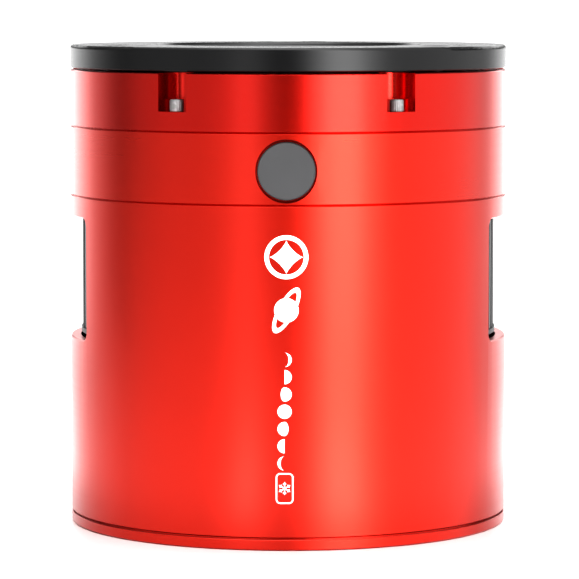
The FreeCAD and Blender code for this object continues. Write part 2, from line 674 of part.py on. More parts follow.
def tie_rods():
    """Hexagonal rods from the rear cover to the chamber housing. They clamp the shell between the two."""
    def rod(x, y):
        made = hexagon(ROD_ACROSS, SHELL_BOTTOM, HOUSING_BOTTOM, x, y)
        made = made.fuse(cylinder(M3_R, HOUSING_BOTTOM, ROD_STUD_TOP, x, y))
        return made.cut(cylinder(M3_R + 0.05, 0, ROD_TAP_TOP, x, y))
    return Part.makeCompound(four(ROD_AT[0], ROD_AT[1], rod))


def air_baffle():
    """Thin black plate on the fin tips that sends the fan's air between the fins."""
    plate = cylinder(BAFFLE_R, FIN_BOTTOM - BAFFLE_T, FIN_BOTTOM)
    plate = plate.cut(cylinder(FAN_BORE_R, 0, BODY_R, 0, FAN_Y))
    plate = plate.cut(rod_clearance())
    half = FEEDTHROUGH[0] + 1.5
    return plate.cut(box(-half, half, -34.0, BOARD_FRONT - 1.0, 0, BODY_R))


def across(radius, y0, y1, x):
    """A cylinder along Y at the height of the main board's screws."""
    return Part.makeCylinder(radius, y1 - y0, V(x, y0, BOARD_SCREW_AT[1]), V(0, 1, 0))


def air_duct():
    """Square plastic duct from the fan up to the baffle, with two bosses for the main board."""
    bottom, top = FAN_BOTTOM + FAN_H, FIN_BOTTOM - BAFFLE_T
    outer = block(DUCT, DUCT, bottom, top, 0, FAN_Y, DUCT_CORNER)
    inner = DUCT - 2 * DUCT_WALL
    duct = outer.cut(block(inner, inner, bottom - 1, top + 1, 0, FAN_Y, DUCT_CORNER - DUCT_WALL))
    radius, reach = BOARD_BOSS
    for side in (-1, 1):
        x = side * BOARD_SCREW_AT[0]
        duct = duct.fuse(across(radius, BOARD_FRONT + BOARD_T, reach, x))
        duct = duct.cut(across(1.05, BOARD_FRONT, reach - 0.4, x))
    return duct


# ---- fan -----------------------------------------------------------------------------------------------------------
def fan_frame():
    """Square fan housing: two flanges, a barrel, and four struts that carry the motor."""
    low, high = FAN_BOTTOM, FAN_BOTTOM + FAN_H
    body = cylinder(FAN_BARREL_R, low, high, 0, FAN_Y)
    for z in (low, high - FAN_FLANGE):
        body = body.fuse(block(FAN_SIZE, FAN_SIZE, z, z + FAN_FLANGE, 0, FAN_Y, FAN_CORNER))
    body = body.cut(cylinder(FAN_BORE_R, low - 1, high + 1, 0, FAN_Y))
    cup = cylinder(HUB_R, high - FAN_FLANGE, high, 0, FAN_Y)
    for k in range(STRUTS // 2):
        bar = box(-FAN_BARREL_R + 0.5, FAN_BARREL_R - 0.5, -STRUT_W / 2, STRUT_W / 2, high - FAN_FLANGE, high)
        bar.rotate(V(0, 0, 0), Z_AXIS, 45 + 90 * k)
        bar.translate(V(0, FAN_Y, 0))
        cup = cup.fuse(bar)
    body = body.fuse(cup).fuse(cylinder(BEARING_TUBE_R, BEARING_BOTTOM, high, 0, FAN_Y))
    body = body.cut(cylinder(BEARING_R[1], 0, SHAFT_TOP + 0.3, 0, FAN_Y))
    for hole in four(FAN_HOLE_AT, FAN_HOLE_AT, lambda x, y: cylinder(FAN_HOLE_R, 0, BODY_R, x, y + FAN_Y)):
        body = body.cut(hole)
    return body.removeSplitter()


def fan_bearing():
    return tube(BEARING_R[0], BEARING_R[1] - 0.01, BEARING_BOTTOM, SHAFT_TOP - 0.4, 0, FAN_Y)


def fan_stator():
    """Four-pole motor winding on the bearing tube."""
    low, high = HUB_BOTTOM + HUB_WALL + 1.6, HUB_TOP - 1.0
    core = tube(BEARING_TUBE_R + 0.05, STATOR_R, low, high, 0, FAN_Y)
    for k in range(4):
        gap = box(BEARING_TUBE_R + 1.2, STATOR_R + 1, -0.8, 0.8, low - 1, high + 1)
        gap.rotate(V(0, 0, 0), Z_AXIS, 90 * k)
        gap.translate(V(0, FAN_Y, 0))
        core = core.cut(gap)
    return core


def fan_rotor():
    """Hub cup, open upwards, with seven pitched blades."""
    hub = cylinder(HUB_R, HUB_BOTTOM, HUB_TOP)
    hub = hub.cut(cylinder(HUB_R - HUB_WALL, HUB_BOTTOM + HUB_WALL, HUB_TOP + 1))
    middle = (HUB_BOTTOM + HUB_TOP) / 2
    span = tube(HUB_R - 0.3, BLADE_TIP_R, HUB_BOTTOM + 0.2, HUB_TOP - 0.2)
    for k in range(BLADES):
        blade = box(HUB_R - 2, BLADE_TIP_R + 2, -BODY_R / 3, BODY_R / 3, -BLADE_T / 2, BLADE_T / 2)
        blade.rotate(V(0, 0, 0), V(1, 0, 0), BLADE_PITCH)
        blade.translate(V(0, 0, middle))
        blade = blade.common(span)
        blade.rotate(V(0, 0, 0), Z_AXIS, 360.0 / BLADES * k)
        hub = hub.fuse(blade)
    hub = hub.cut(cylinder(HUB_R - HUB_WALL, HUB_BOTTOM + HUB_WALL, HUB_TOP + 1))
    hub = hub.cut(cylinder(SHAFT_R, HUB_BOTTOM + 0.5, HUB_TOP))
    hub.translate(V(0, FAN_Y, 0))
    return hub


def fan_shaft():
    return cylinder(SHAFT_R, HUB_BOTTOM + 0.5, SHAFT_TOP, 0, FAN_Y)


def fan_magnet():
    return tube(MAGNET_R[0], MAGNET_R[1], HUB_BOTTOM + HUB_WALL + 0.6, HUB_TOP - 0.6, 0, FAN_Y)


def fan_screws():
    return Part.makeCompound(four(FAN_HOLE_AT, FAN_HOLE_AT, lambda x, y: countersunk_screw(
        FAN_BOTTOM + FAN_FLANGE - 0.4, x, y + FAN_Y)))


# ---- main board and ports ------------------------------------------------------------------------------------------
def on_board(width, depth, z0, z1, x):
    """A block on the outer face of the main board."""
    return box(x - width / 2, x + width / 2, BOARD_FRONT - depth, BOARD_FRONT, z0, z1)


def main_board():
    """Upright circuit board beside the fan."""
    width, bottom, top = MAIN_BOARD
    board = box(-width / 2, width / 2, BOARD_FRONT, BOARD_FRONT + BOARD_T, bottom, top)
    for side in (-1, 1):
        board = board.cut(across(1.1, BOARD_FRONT - 5, BOARD_FRONT + 5, side * BOARD_SCREW_AT[0]))
    return board


def main_board_screws():
    """M2 screws that hold the main board on the duct's bosses."""
    made = []
    for side in (-1, 1):
        screw = cap_screw(1.9, 0, 1.2, 1.0, -4.9, 1.3, 0.7, 0, 0)
        screw.rotate(V(0, 0, 0), V(1, 0, 0), 90)
        screw.translate(V(side * BOARD_SCREW_AT[0], BOARD_FRONT, BOARD_SCREW_AT[1]))
        made.append(screw)
    return Part.makeCompound(made)


def board_chips():
    """Processor, memory and port controllers."""
    return Part.makeCompound([
        on_board(13.0, 1.4, 24.6, 37.6, 17.5), on_board(8.0, 1.1, 25.0, 31.4, -14.4),
        on_board(8.0, 1.1, 25.0, 31.4, -22.8), on_board(5.0, 0.9, 23.0, 28.0, 4.0),
        on_board(5.0, 0.9, 23.0, 28.0, -4.5),
    ])


def board_capacitors():
    """Upright power capacitors, lying against the board."""
    made = []
    for k in range(3):
        made.append(Part.makeCylinder(2.6, 5.4, V(-23.5 + 6.0 * k, BOARD_FRONT, 35.2), V(0, -1, 0)))
    return Part.makeCompound(made)


def ribbon_socket():
    """Socket for the flat cable, with the mouth upwards."""
    body = on_board(2 * RIBBON_HALF + 3, 3.2, 31.0, 36.2, 0)
    return body.cut(box(-RIBBON_HALF - 0.1, RIBBON_HALF + 0.1, BOARD_FRONT - 2.2, BOARD_FRONT - 1.8, 35.0, 37.0))


def port_box(size, x, grow=0.0, bottom=PORT_MOUTH, top=None):
    """The space of a port of size (width, depth, length) that stands on the main board."""
    width, depth, length = size
    y1 = BOARD_FRONT - PORT_BACK
    high = bottom + length if top is None else top
    return box(x - width / 2 - grow, x + width / 2 + grow, y1 - depth - grow, y1 + grow, bottom, high)


def usb_a_places():
    return (-USB_A_X, USB_A_X)


def usb_a_shells():
    """Steel sleeves of the two hub ports, open downwards."""
    made = []
    for x in usb_a_places():
        hollow = port_box(USB_A, x, -METAL, PORT_MOUTH - 1, PORT_MOUTH + 9.5)
        made.append(port_box(USB_A, x).cut(hollow))
    return Part.makeCompound(made)


def usb_a_tongues():
    """Plastic tongue in each hub port."""
    made = []
    y = BOARD_FRONT - PORT_BACK - USB_A[1] / 2
    for x in usb_a_places():
        made.append(box(x - 5.5, x + 5.5, y + 0.3, y + 2.2, PORT_MOUTH + 0.6, PORT_MOUTH + 9.5))
    return Part.makeCompound(made)


def usb_b_shell():
    """Steel sleeve of the computer port."""
    return port_box(USB_B, USB_B_X).cut(port_box(USB_B, USB_B_X, -METAL, PORT_MOUTH - 1, PORT_MOUTH + 15.0))


def usb_b_insert():
    """Plastic filling of the computer port: a step-shaped mouth, and a tongue in each half of it."""
    width, depth, _ = USB_B
    y1 = BOARD_FRONT - PORT_BACK
    low, mouth = PORT_MOUTH + 0.5, PORT_MOUTH - 0.1
    body = port_box(USB_B, USB_B_X, -METAL - 0.02, low, PORT_MOUTH + 14.9)
    top_y = y1 - 1.3
    mouth_end = PORT_MOUTH + 10.0
    body = body.cut(box(USB_B_X - 4.2, USB_B_X + 4.2, top_y - 5.6, top_y, mouth, mouth_end))
    body = body.cut(box(USB_B_X - 2.6, USB_B_X + 2.6, y1 - depth + 1.1, top_y - 5.6, mouth, mouth_end))
    body = body.fuse(box(USB_B_X - 2.8, USB_B_X + 2.8, top_y - 4.1, top_y - 1.3, low + 0.4, mouth_end))
    return body.fuse(box(USB_B_X - 1.9, USB_B_X + 1.9, y1 - depth + 1.9, y1 - depth + 3.0, low + 0.4, mouth_end))


def dc_middle():
    return BOARD_FRONT - PORT_BACK - DC[1] / 2


def dc_jack():
    """Power socket: a square body behind the cover and a round nose through it."""
    body = port_box(DC, DC_X, 0.0, SHELL_BOTTOM + 0.1, SHELL_BOTTOM + 0.1 + DC[2])
    body = body.fuse(cylinder(DC_NOSE_R, PORT_MOUTH, SHELL_BOTTOM + 1, DC_X, dc_middle()))
    return body.cut(cylinder(DC_BORE_R, 0, PORT_MOUTH + 9.5, DC_X, dc_middle()))


def dc_pin():
    """Centre contact of the power socket."""
    pin = cylinder(DC_PIN_R, PORT_MOUTH + 0.8, PORT_MOUTH + 9.5, DC_X, dc_middle())
    tip = [e for e in pin.Edges if e.BoundBox.ZMax < PORT_MOUTH + 1]
    return pin.makeFillet(0.5, tip)


# ---- rear cover ----------------------------------------------------------------------------------------------------
def grille_slots():
    """Rings of arc-shaped slots, crossed by the spokes that are left standing."""
    cut = None
    for k in range(GRILLE_RINGS):
        inner = GRILLE_EYE_R + GRILLE_RIB + k * (GRILLE_SLOT + GRILLE_RIB)
        ring = tube(inner, inner + GRILLE_SLOT, -1, SHELL_BOTTOM + 1)
        cut = ring if cut is None else cut.fuse(ring)
    for k in range(GRILLE_SPOKES // 2):
        spoke = box(-BODY_R, BODY_R, -GRILLE_SPOKE_W / 2, GRILLE_SPOKE_W / 2, -2, SHELL_BOTTOM + 2)
        spoke.rotate(V(0, 0, 0), Z_AXIS, 180.0 / (GRILLE_SPOKES // 2) * k)
        cut = cut.cut(spoke)
    cut.translate(V(0, FAN_Y, 0))
    return cut


def rear_cover():
    """Red end plate with the fan grille and the port openings."""
    cover = turned([
        (0, 0), (BODY_R - EDGE, 0), (BODY_R, EDGE), (BODY_R, REAR_RIM_TOP - 0.1), (BODY_R - 0.1, REAR_RIM_TOP),
        (NECK_R, REAR_RIM_TOP), (NECK_R, SHELL_BOTTOM), (0, SHELL_BOTTOM),
    ])
    spigot = tube(COVER_SPIGOT_R[0], COVER_SPIGOT_R[1], REAR_RIM_TOP, COVER_SPIGOT_TOP)
    rods = rod_clearance()
    rods.translate(V(0, 0, SHELL_BOTTOM))
    cover = cover.fuse(spigot.cut(rods))
    cover = cover.cut(grille_slots())
    for x in usb_a_places():
        cover = cover.cut(port_box(USB_A, x, PORT_GAP, -1, SHELL_BOTTOM + 1))
    cover = cover.cut(port_box(USB_B, USB_B_X, PORT_GAP, -1, SHELL_BOTTOM + 1))
    cover = cover.cut(cylinder(DC_NOSE_R + PORT_GAP, -1, SHELL_BOTTOM + 1, DC_X, dc_middle()))
    for hole in four(ROD_AT[0], ROD_AT[1], lambda x, y: countersunk_hole(SHELL_BOTTOM + 1, x, y)):
        cover = cover.cut(hole)
    for hole in four(FAN_HOLE_AT, FAN_HOLE_AT, lambda x, y: countersunk_hole(SHELL_BOTTOM + 1, x, y + FAN_Y)):
        cover = cover.cut(hole)
    return cover


def fan_spacer():
    """Soft ring between the rear cover and the fan that stops it buzzing."""
    pad = block(FAN_SIZE, FAN_SIZE, SHELL_BOTTOM, FAN_BOTTOM, 0, FAN_Y, FAN_CORNER)
    pad = pad.cut(cylinder(FAN_BORE_R, 0, BODY_R, 0, FAN_Y))
    for hole in four(FAN_HOLE_AT, FAN_HOLE_AT, lambda x, y: cylinder(M3_R + 0.3, 0, BODY_R, x, y + FAN_Y)):
        pad = pad.cut(hole)
    return pad


def rear_cover_screws():
    return Part.makeCompound(four(ROD_AT[0], ROD_AT[1], lambda x, y: countersunk_screw(ROD_TAP_TOP - 1.5, x, y)))


def all_parts():
    """Every node's name and its shape."""
    parts = {
        "tilt_plate": tilt_plate(), "tilt_seal": tilt_seal(), "front_ring": front_ring(),
        "ring_screws": ring_screws(),
        "window_glass": cylinder(WINDOW_R, SEAT_TOP, SEAT_TOP + WINDOW_T),
        "window_o_ring": o_ring(WINDOW_RING_R, WINDOW_RING_WIRE, SEAT_TOP - WINDOW_RING_WIRE - 0.02),
        "window_retainer": window_retainer(),
        "dew_heater": tube(HEATER_R[0], HEATER_R[1], SEAT_TOP - HEATER_T - 0.02, SEAT_TOP - 0.02),
        "chamber_housing": chamber_housing(),
        "chamber_o_ring": o_ring(CHAMBER_RING_R, CHAMBER_RING_WIRE - 0.05, FRONT_BOTTOM - CHAMBER_RING_WIRE),
        "desiccant_plug": desiccant_plug(), "plug_o_ring": plug_o_ring(), "desiccant_tablets": desiccant_tablets(),
        "sensor_package": sensor_package(),
        "sensor_die": block(DIE[0], DIE[1], SENSOR_PLANE - DIE[2], SENSOR_PLANE),
        "sensor_glass": block(GLASS[0], GLASS[1], PACKAGE_TOP, PACKAGE_TOP + GLASS[2], corner=0.5),
        "sensor_board": sensor_board(), "board_posts": board_posts(), "board_screws": board_screws(),
        "thermal_pad": block(FINGER[0], FINGER[1], finger_top(), PACKAGE_BOTTOM, corner=1.0),
        "cold_finger": cold_finger(), "peltier_plates": peltier_plates(), "peltier_pellets": peltier_pellets(),
        "cooler_foam": cooler_foam(), "feedthrough": feedthrough(), "sensor_ribbon": sensor_ribbon(),
        "heat_sink": heat_sink(), "sink_screws": sink_screws(), "sink_gasket": sink_gasket(),
        "main_shell": main_shell(), "tie_rods": tie_rods(), "air_baffle": air_baffle(), "air_duct": air_duct(),
        "fan_frame": fan_frame(), "fan_bearing": fan_bearing(), "fan_stator": fan_stator(),
        "fan_rotor": fan_rotor(), "fan_shaft": fan_shaft(), "fan_magnet": fan_magnet(),
        "fan_screws": fan_screws(), "fan_spacer": fan_spacer(),
        "main_board": main_board(), "main_board_screws": main_board_screws(),
        "board_chips": board_chips(), "board_capacitors": board_capacitors(), "ribbon_socket": ribbon_socket(),
        "usb_a_shells": usb_a_shells(), "usb_a_tongues": usb_a_tongues(), "usb_b_shell": usb_b_shell(),
        "usb_b_insert": usb_b_insert(), "dc_jack": dc_jack(), "dc_pin": dc_pin(),
        "rear_cover": rear_cover(), "rear_cover_screws": rear_cover_screws(),
    }
    for n, b in enumerate(screw_bearings(-1), 1):
        parts[f"pull_screw_{n}"] = pull_screw(b)
    for n, b in enumerate(screw_bearings(1), 1):
        parts[f"push_screw_{n}"] = push_screw(b)
    return parts


os.makedirs("parts", exist_ok=True)
for name, shape in all_parts().items():
    solids = len(shape.Solids)
    print(f"{name:20s} {solids:4d} solids {shape.Volume:10.1f} mm3 {'valid' if shape.isValid() else 'NOT VALID'}")
    shape.exportStep(f"parts/{name}.step")
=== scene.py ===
from math import cos, radians, sin

import bpy
import numpy as np
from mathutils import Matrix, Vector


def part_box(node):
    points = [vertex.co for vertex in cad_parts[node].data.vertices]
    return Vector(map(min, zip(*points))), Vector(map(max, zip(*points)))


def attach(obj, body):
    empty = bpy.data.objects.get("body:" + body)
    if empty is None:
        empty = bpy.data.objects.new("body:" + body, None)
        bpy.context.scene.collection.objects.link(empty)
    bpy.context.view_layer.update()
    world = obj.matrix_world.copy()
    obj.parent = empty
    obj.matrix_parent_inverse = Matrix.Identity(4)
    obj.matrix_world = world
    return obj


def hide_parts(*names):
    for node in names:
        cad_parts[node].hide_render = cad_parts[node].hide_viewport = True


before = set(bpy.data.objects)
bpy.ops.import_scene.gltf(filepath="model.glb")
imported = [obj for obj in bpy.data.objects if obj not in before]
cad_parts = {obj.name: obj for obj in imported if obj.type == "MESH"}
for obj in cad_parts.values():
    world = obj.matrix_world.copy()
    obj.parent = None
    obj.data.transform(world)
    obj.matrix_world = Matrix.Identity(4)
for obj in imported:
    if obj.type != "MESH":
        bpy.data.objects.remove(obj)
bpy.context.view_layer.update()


# ---- Main shell ----------------------------------------------------------------------------------
# The shell is a thick aluminium tube, turned outside and milled through for the two air vents. It
# is bead-blasted fine, dyed red in the anodising bath and sealed, so a thin clear layer lies over
# the red metal.

class Signal:
    """What one socket gives. + - * / and ** with numbers or other signals add the Math nodes they
    need."""

    def __init__(self, wiring, socket):
        self.wiring = wiring
        self.socket = socket

    def maths(self, operation, first, second):
        return self.wiring.node("ShaderNodeMath", {"operation": operation}, {0: first, 1: second})

    def __add__(self, other):
        return self.maths("ADD", self, other)

    def __radd__(self, other):
        return self.maths("ADD", other, self)

    def __sub__(self, other):
        return self.maths("SUBTRACT", self, other)

    def __rsub__(self, other):
        return self.maths("SUBTRACT", other, self)

    def __mul__(self, other):
        return self.maths("MULTIPLY", self, other)

    def __rmul__(self, other):
        return self.maths("MULTIPLY", other, self)

    def __truediv__(self, other):
        return self.maths("DIVIDE", self, other)

    def __pow__(self, other):
        return self.maths("POWER", self, other)

    def __rpow__(self, other):
        return self.maths("POWER", other, self)

    def beyond(self, edge, soft):
        """0 below the edge and 1 above it, with a soft step between."""
        return self.wiring.node(
            "ShaderNodeMapRange", {"interpolation_type": "SMOOTHSTEP"},
            {"Value": self, "From Min": edge - soft / 2, "From Max": edge + soft / 2})


class Wiring:
    """A node tree that takes nodes one by one."""

    def __init__(self, tree):
        self.tree = tree

    def node(self, kind, settings=None, sockets=None, output=0):
        """Adds a node, sets it up, fills its sockets with values or links, and gives one output."""
        made = self.tree.nodes.new(kind)
        for setting, value in (settings or {}).items():
            if setting == "stops":
                ramp = made.color_ramp.elements
                while len(ramp) < len(value):
                    ramp.new(0.5)
                for stop, (at, shade) in zip(ramp, value):
                    stop.position = at
                    stop.color = shade
            elif setting == "ramp_interpolation":
                made.color_ramp.interpolation = value
            else:
                setattr(made, setting, value)
        for socket, value in (sockets or {}).items():
            if isinstance(value, Signal):
                self.tree.links.new(value.socket, made.inputs[socket])
            else:
                made.inputs[socket].default_value = value
        return Signal(self, made.outputs[output])


class Finish(Wiring):
    """One material: a Principled shader, the object's own coordinates in metres, and the nodes
    between them."""

    def __init__(self, name, constants):
        self.material = bpy.data.materials.new(name)
        self.material.use_nodes = True
        super().__init__(self.material.node_tree)
        self.shader = self.tree.nodes["Principled BSDF"]
        for socket, value in constants.items():
            self.shader.inputs[socket].default_value = value
        self.place = self.node("ShaderNodeTexCoord", output="Object")
        self.x, self.y, self.z = (
            self.node("ShaderNodeSeparateXYZ", {}, {0: self.place}, output) for output in "XYZ")

    def feed(self, socket, signal):
        """Links a signal to a socket of the shader."""
        self.tree.links.new(signal.socket, self.shader.inputs[socket])

    def noise(self, grain, stretch=(1, 1, 1), detail=2.0):
        """Soft noise from 0 to 1. grain is the size of its lumps in metres, stretch multiplies each
        axis."""
        at = self.node("ShaderNodeMapping", {}, {"Vector": self.place, "Scale": stretch})
        return self.node("ShaderNodeTexNoise", {}, {"Vector": at, "Scale": 1 / grain, "Detail": detail})

    def cells(self, size, feature="F1"):
        """Distance inside random cells of that size in metres."""
        return self.node("ShaderNodeTexVoronoi", {"feature": feature},
                         {"Vector": self.place, "Scale": 1 / size}, "Distance")

    def blend(self, low, high, share):
        """A colour between two, where share runs from 0 to 1."""
        mix = self.tree.nodes.new("ShaderNodeMix")
        mix.data_type = "RGBA"
        self.tree.links.new(share.socket, mix.inputs["Factor"])
        for name, value in (("A", low), ("B", high)):
            socket = next(s for s in mix.inputs if s.name == name and s.type == "RGBA")
            if isinstance(value, Signal):
                self.tree.links.new(value.socket, socket)
            else:
                socket.default_value = (*value, 1)
        return Signal(self, next(s for s in mix.outputs if s.type == "RGBA"))

    def relief(self, height, depth):
        """Bumps the surface by height, a signal from 0 to 1 that stands for depth in metres."""
        self.feed("Normal", self.node("ShaderNodeBump", {}, {"Height": height, "Distance": depth}))

    def dress(self, *nodes):
        """Gives the finish to CAD nodes."""
        for name in nodes:
            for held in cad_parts[name].material_slots:
                held.material = self.material


def red_anodised(name, dye, roughness, blast, depth, sheen):
    """Red dyed aluminium: blasted pits under a clear sealed layer, with faint turning lines and
    uneven dye."""
    made = Finish(name, {
        "Metallic": 1.0, "IOR": 1.5, "Coat Weight": 0.65, "Coat Roughness": sheen, "Coat IOR": 1.4})
    pits = made.noise(blast, detail=1.0)
    lines = made.noise(0.0009, (0.02, 0.02, 1), detail=3.0)
    bath = made.noise(0.018, detail=2.0)
    dark = tuple(0.90 * part for part in dye)
    made.feed("Base Color", made.blend(dark, dye, bath * 0.5 + pits * 0.5))
    made.feed("Roughness", roughness - 0.04 + bath * 0.05 + lines * 0.04)
    made.relief(pits * 0.8 + lines * 0.2, depth)
    return made


SATIN_RED = (0.50, 0.016, 0.004)
red_anodised("red anodised shell", SATIN_RED, 0.30, 0.00012, 0.000004, 0.22).dress("main_shell")


# ---- Sensor chamber housing and front ring -------------------------------------------------------
# Two turned aluminium rings over the shell. The housing has the shell's satin; the front ring is
# cut sharper and blasted a little coarser, so it keeps a deeper, glossier red.

red_anodised("red anodised housing", SATIN_RED, 0.28, 0.00012, 0.000004, 0.20).dress(
    "chamber_housing")
DEEP_RED = (0.45, 0.009, 0.002)
red_anodised("red anodised front ring", DEEP_RED, 0.24, 0.00022, 0.000012, 0.17).dress("front_ring")


# ---- Rear cover ----------------------------------------------------------------------------------
# A shallow turned disc in the same red, with the fan grille and the socket openings milled through
# it.

red_anodised("red anodised rear cover", SATIN_RED, 0.30, 0.00014, 0.000005, 0.22).dress("rear_cover")


# ---- Tilt plate ----------------------------------------------------------------------------------
# Fine-turned aluminium, anodised black: the tool leaves rings on its faces and lines round its
# side.

def turned_black(name, shade, roughness, feed_pitch, depth, *nodes):
    """Black anodised turned metal: rings on the faces from the distance to the axis, lines round
    the side."""
    made = Finish(name, {"Metallic": 0.0, "IOR": 1.44})
    reach = (made.x * made.x + made.y * made.y) ** 0.5
    spot = made.node("ShaderNodeCombineXYZ", {}, {"X": reach, "Y": 0.0, "Z": made.z})
    lines = made.node("ShaderNodeTexNoise", {},
                      {"Vector": spot, "Scale": 1 / feed_pitch, "Detail": 2.0})
    stains = made.noise(0.009, detail=3.0)
    grain = made.noise(0.00015, detail=1.0)
    light = tuple(1.6 * part for part in shade)
    made.feed("Base Color", made.blend(shade, light, stains * 0.6 + lines * 0.4))
    made.feed("Roughness", roughness - 0.05 + stains * 0.06 + lines * 0.05)
    made.relief(lines * 0.7 + grain * 0.3, depth)
    made.dress(*nodes)


turned_black("black anodised turned", (0.0012, 0.0012, 0.0014), 0.25, 0.0003, 0.000004, "tilt_plate")
turned_black("black anodised inner", (0.006, 0.006, 0.0065), 0.42, 0.0004, 0.000004,
             "window_retainer", "air_baffle")


# ---- Camera thread -------------------------------------------------------------------------------
# The plate's middle is cut with a 54 mm thread of 0.75 mm pitch, in which an adapter or a nosepiece
# is screwed. Only its ridges are made here: they stand on the bore's wall and run out at both ends.

def thread_ridge(root, crest, pitch, low, high):
    """A helix of triangular section. Along it the angle grows and the height grows with the angle;
    across it the radius is the root at both feet and the crest between, and the crest sinks to the
    root at the two ends."""
    turns = (high - low) / pitch
    along = np.linspace(0, 2 * np.pi * turns, int(120 * turns) + 1)[:, None]
    run_out = np.clip(np.minimum(along, along[-1] - along) / 0.9, 0, 1)
    radius = root + (crest - root) * np.array([0.0, 1.0, 1.0, 0.0]) * run_out
    z = low + pitch * along / (2 * np.pi) + (np.array([0.0, 0.42, 0.58, 1.0]) - 0.5) * pitch * 0.94
    return np.stack([radius * np.cos(along), radius * np.sin(along), z], -1)


def sheet(points, ring=False, flip=False):
    """Points and four-sided faces over a grid of points; a ring joins the last column to the
    first."""
    rows, columns = points.shape[:2]
    index = np.arange(rows * columns).reshape(rows, columns)
    if ring:
        index = np.hstack([index, index[:, :1]])
    corners = [index[:-1, :-1], index[1:, :-1], index[1:, 1:], index[:-1, 1:]]
    faces = np.stack(corners, -1).reshape(-1, 4)
    return points.reshape(-1, points.shape[-1]), faces[:, ::-1] if flip else faces


def make_piece(name, sheets, finish, body, crease=32):
    """Joins sheets into one smooth-shaded object with creases, dresses it and lets it ride on a
    body."""
    starts = np.cumsum([0] + [len(points) for points, faces in sheets[:-1]])
    mesh = bpy.data.meshes.new(name)
    all_points = np.vstack([points for points, faces in sheets])
    all_faces = np.vstack([faces + start for start, (points, faces) in zip(starts, sheets)])
    mesh.from_pydata(all_points.tolist(), [], all_faces.tolist())
    mesh.polygons.foreach_set("use_smooth", np.ones(len(mesh.polygons), bool))
    mesh.set_sharp_from_angle(angle=radians(crease))
    mesh.materials.append(finish.material)
    piece = bpy.data.objects.new(name, mesh)
    bpy.context.scene.collection.objects.link(piece)
    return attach(piece, body)


thread_black = Finish("black anodised thread", {"Metallic": 0.0, "IOR": 1.62})
thread_wear = thread_black.noise(0.0006, detail=2.0)
thread_black.feed("Base Color", thread_black.blend(
    (0.006, 0.006, 0.007), (0.02, 0.02, 0.021), thread_wear))
thread_black.feed("Roughness", 0.28 + thread_wear * 0.12)
thread_black.relief(thread_wear, 0.000005)
THREAD_ROOT, THREAD_CREST, THREAD_PITCH = 0.02707, 0.0266, 0.00075
THREAD_LOW, THREAD_HIGH = 0.0944, 0.0978
ridges = sheet(thread_ridge(THREAD_ROOT, THREAD_CREST, THREAD_PITCH, THREAD_LOW, THREAD_HIGH))
make_piece("camera_thread_ridges", [ridges], thread_black, "tilt_plate")


# ---- Adjusting screws ----------------------------------------------------------------------------
# Three pairs of hexagon-socket screws in the tilt plate, alloy steel with black oxide, a little
# worn on top.

def screw_steel(name, shade, worn, roughness, *nodes):
    """Turned and hardened screw steel: fine turning marks, and paler, smoother metal where a key
    has rubbed."""
    made = Finish(name, {"Metallic": 1.0, "IOR": 1.5})
    turning = made.noise(0.00012, (1, 1, 6), detail=2.0)
    rubbed = made.noise(0.0011, detail=3.0).beyond(0.62, 0.2)
    made.feed("Base Color", made.blend(shade, worn, rubbed * 0.7 + turning * 0.2))
    made.feed("Roughness", roughness + turning * 0.10 - rubbed * 0.08)
    made.relief(turning, 0.000003)
    made.dress(*nodes)
    return made


screw_steel("black oxide steel", (0.045, 0.045, 0.05), (0.14, 0.14, 0.15), 0.36,
            *[f"{kind}_screw_{pair}" for kind in ("pull", "push") for pair in (1, 2, 3)],
            "fan_screws", "sink_screws", "rear_cover_screws")


# ---- Ring screws ---------------------------------------------------------------------------------
# Six small zinc-plated cap screws that clamp the front ring on the housing, one at the bottom of
# each open slot. The head is knurled round its side and has a hexagon socket in its top.

def cap_screws(bearings, circle, low, seat, top, head, shank, socket, knurls):
    """Screws of revolution. The profile runs from the shank's tip up the side of the head, over its
    top and down the socket. The head's side swings in and out with the knurls, and the socket's
    radius is a hexagon's: the half width across its flats divided by the cosine of the angle from
    the middle of the nearest flat."""
    turn = np.linspace(0, 2 * np.pi, 97)[:-1]
    knurl = head - 0.00006 * (0.5 + 0.5 * np.cos(knurls * turn))
    flat = socket / np.cos((turn + np.pi / 6) % (np.pi / 3) - np.pi / 6)
    whole = np.ones_like(turn)
    edge = 0.00012
    profile = [
        (0 * whole, low), (0.7 * shank * whole, low), (shank * whole, low + 0.3 * shank),
        (shank * whole, seat), ((head - edge) * whole, seat), (knurl, seat + edge),
        (knurl, top - 2.2 * edge),
        ((head - 0.5 * edge) * whole, top - 1.3 * edge), ((head - 2.0 * edge) * whole, top),
        (flat * 1.08, top), (flat, top - 0.6 * edge), (flat, top - 0.0011), (0 * whole, top - 0.0014),
    ]
    radius = np.array([r for r, z in profile])
    height = np.array([z for r, z in profile])[:, None] * whole
    sheets = []
    for bearing in np.radians(bearings):
        x = circle * np.sin(bearing) + radius * np.cos(turn)
        y = -circle * np.cos(bearing) + radius * np.sin(turn)
        sheets.append(sheet(np.stack([x, y, height], -1), ring=True, flip=True))
    return sheets


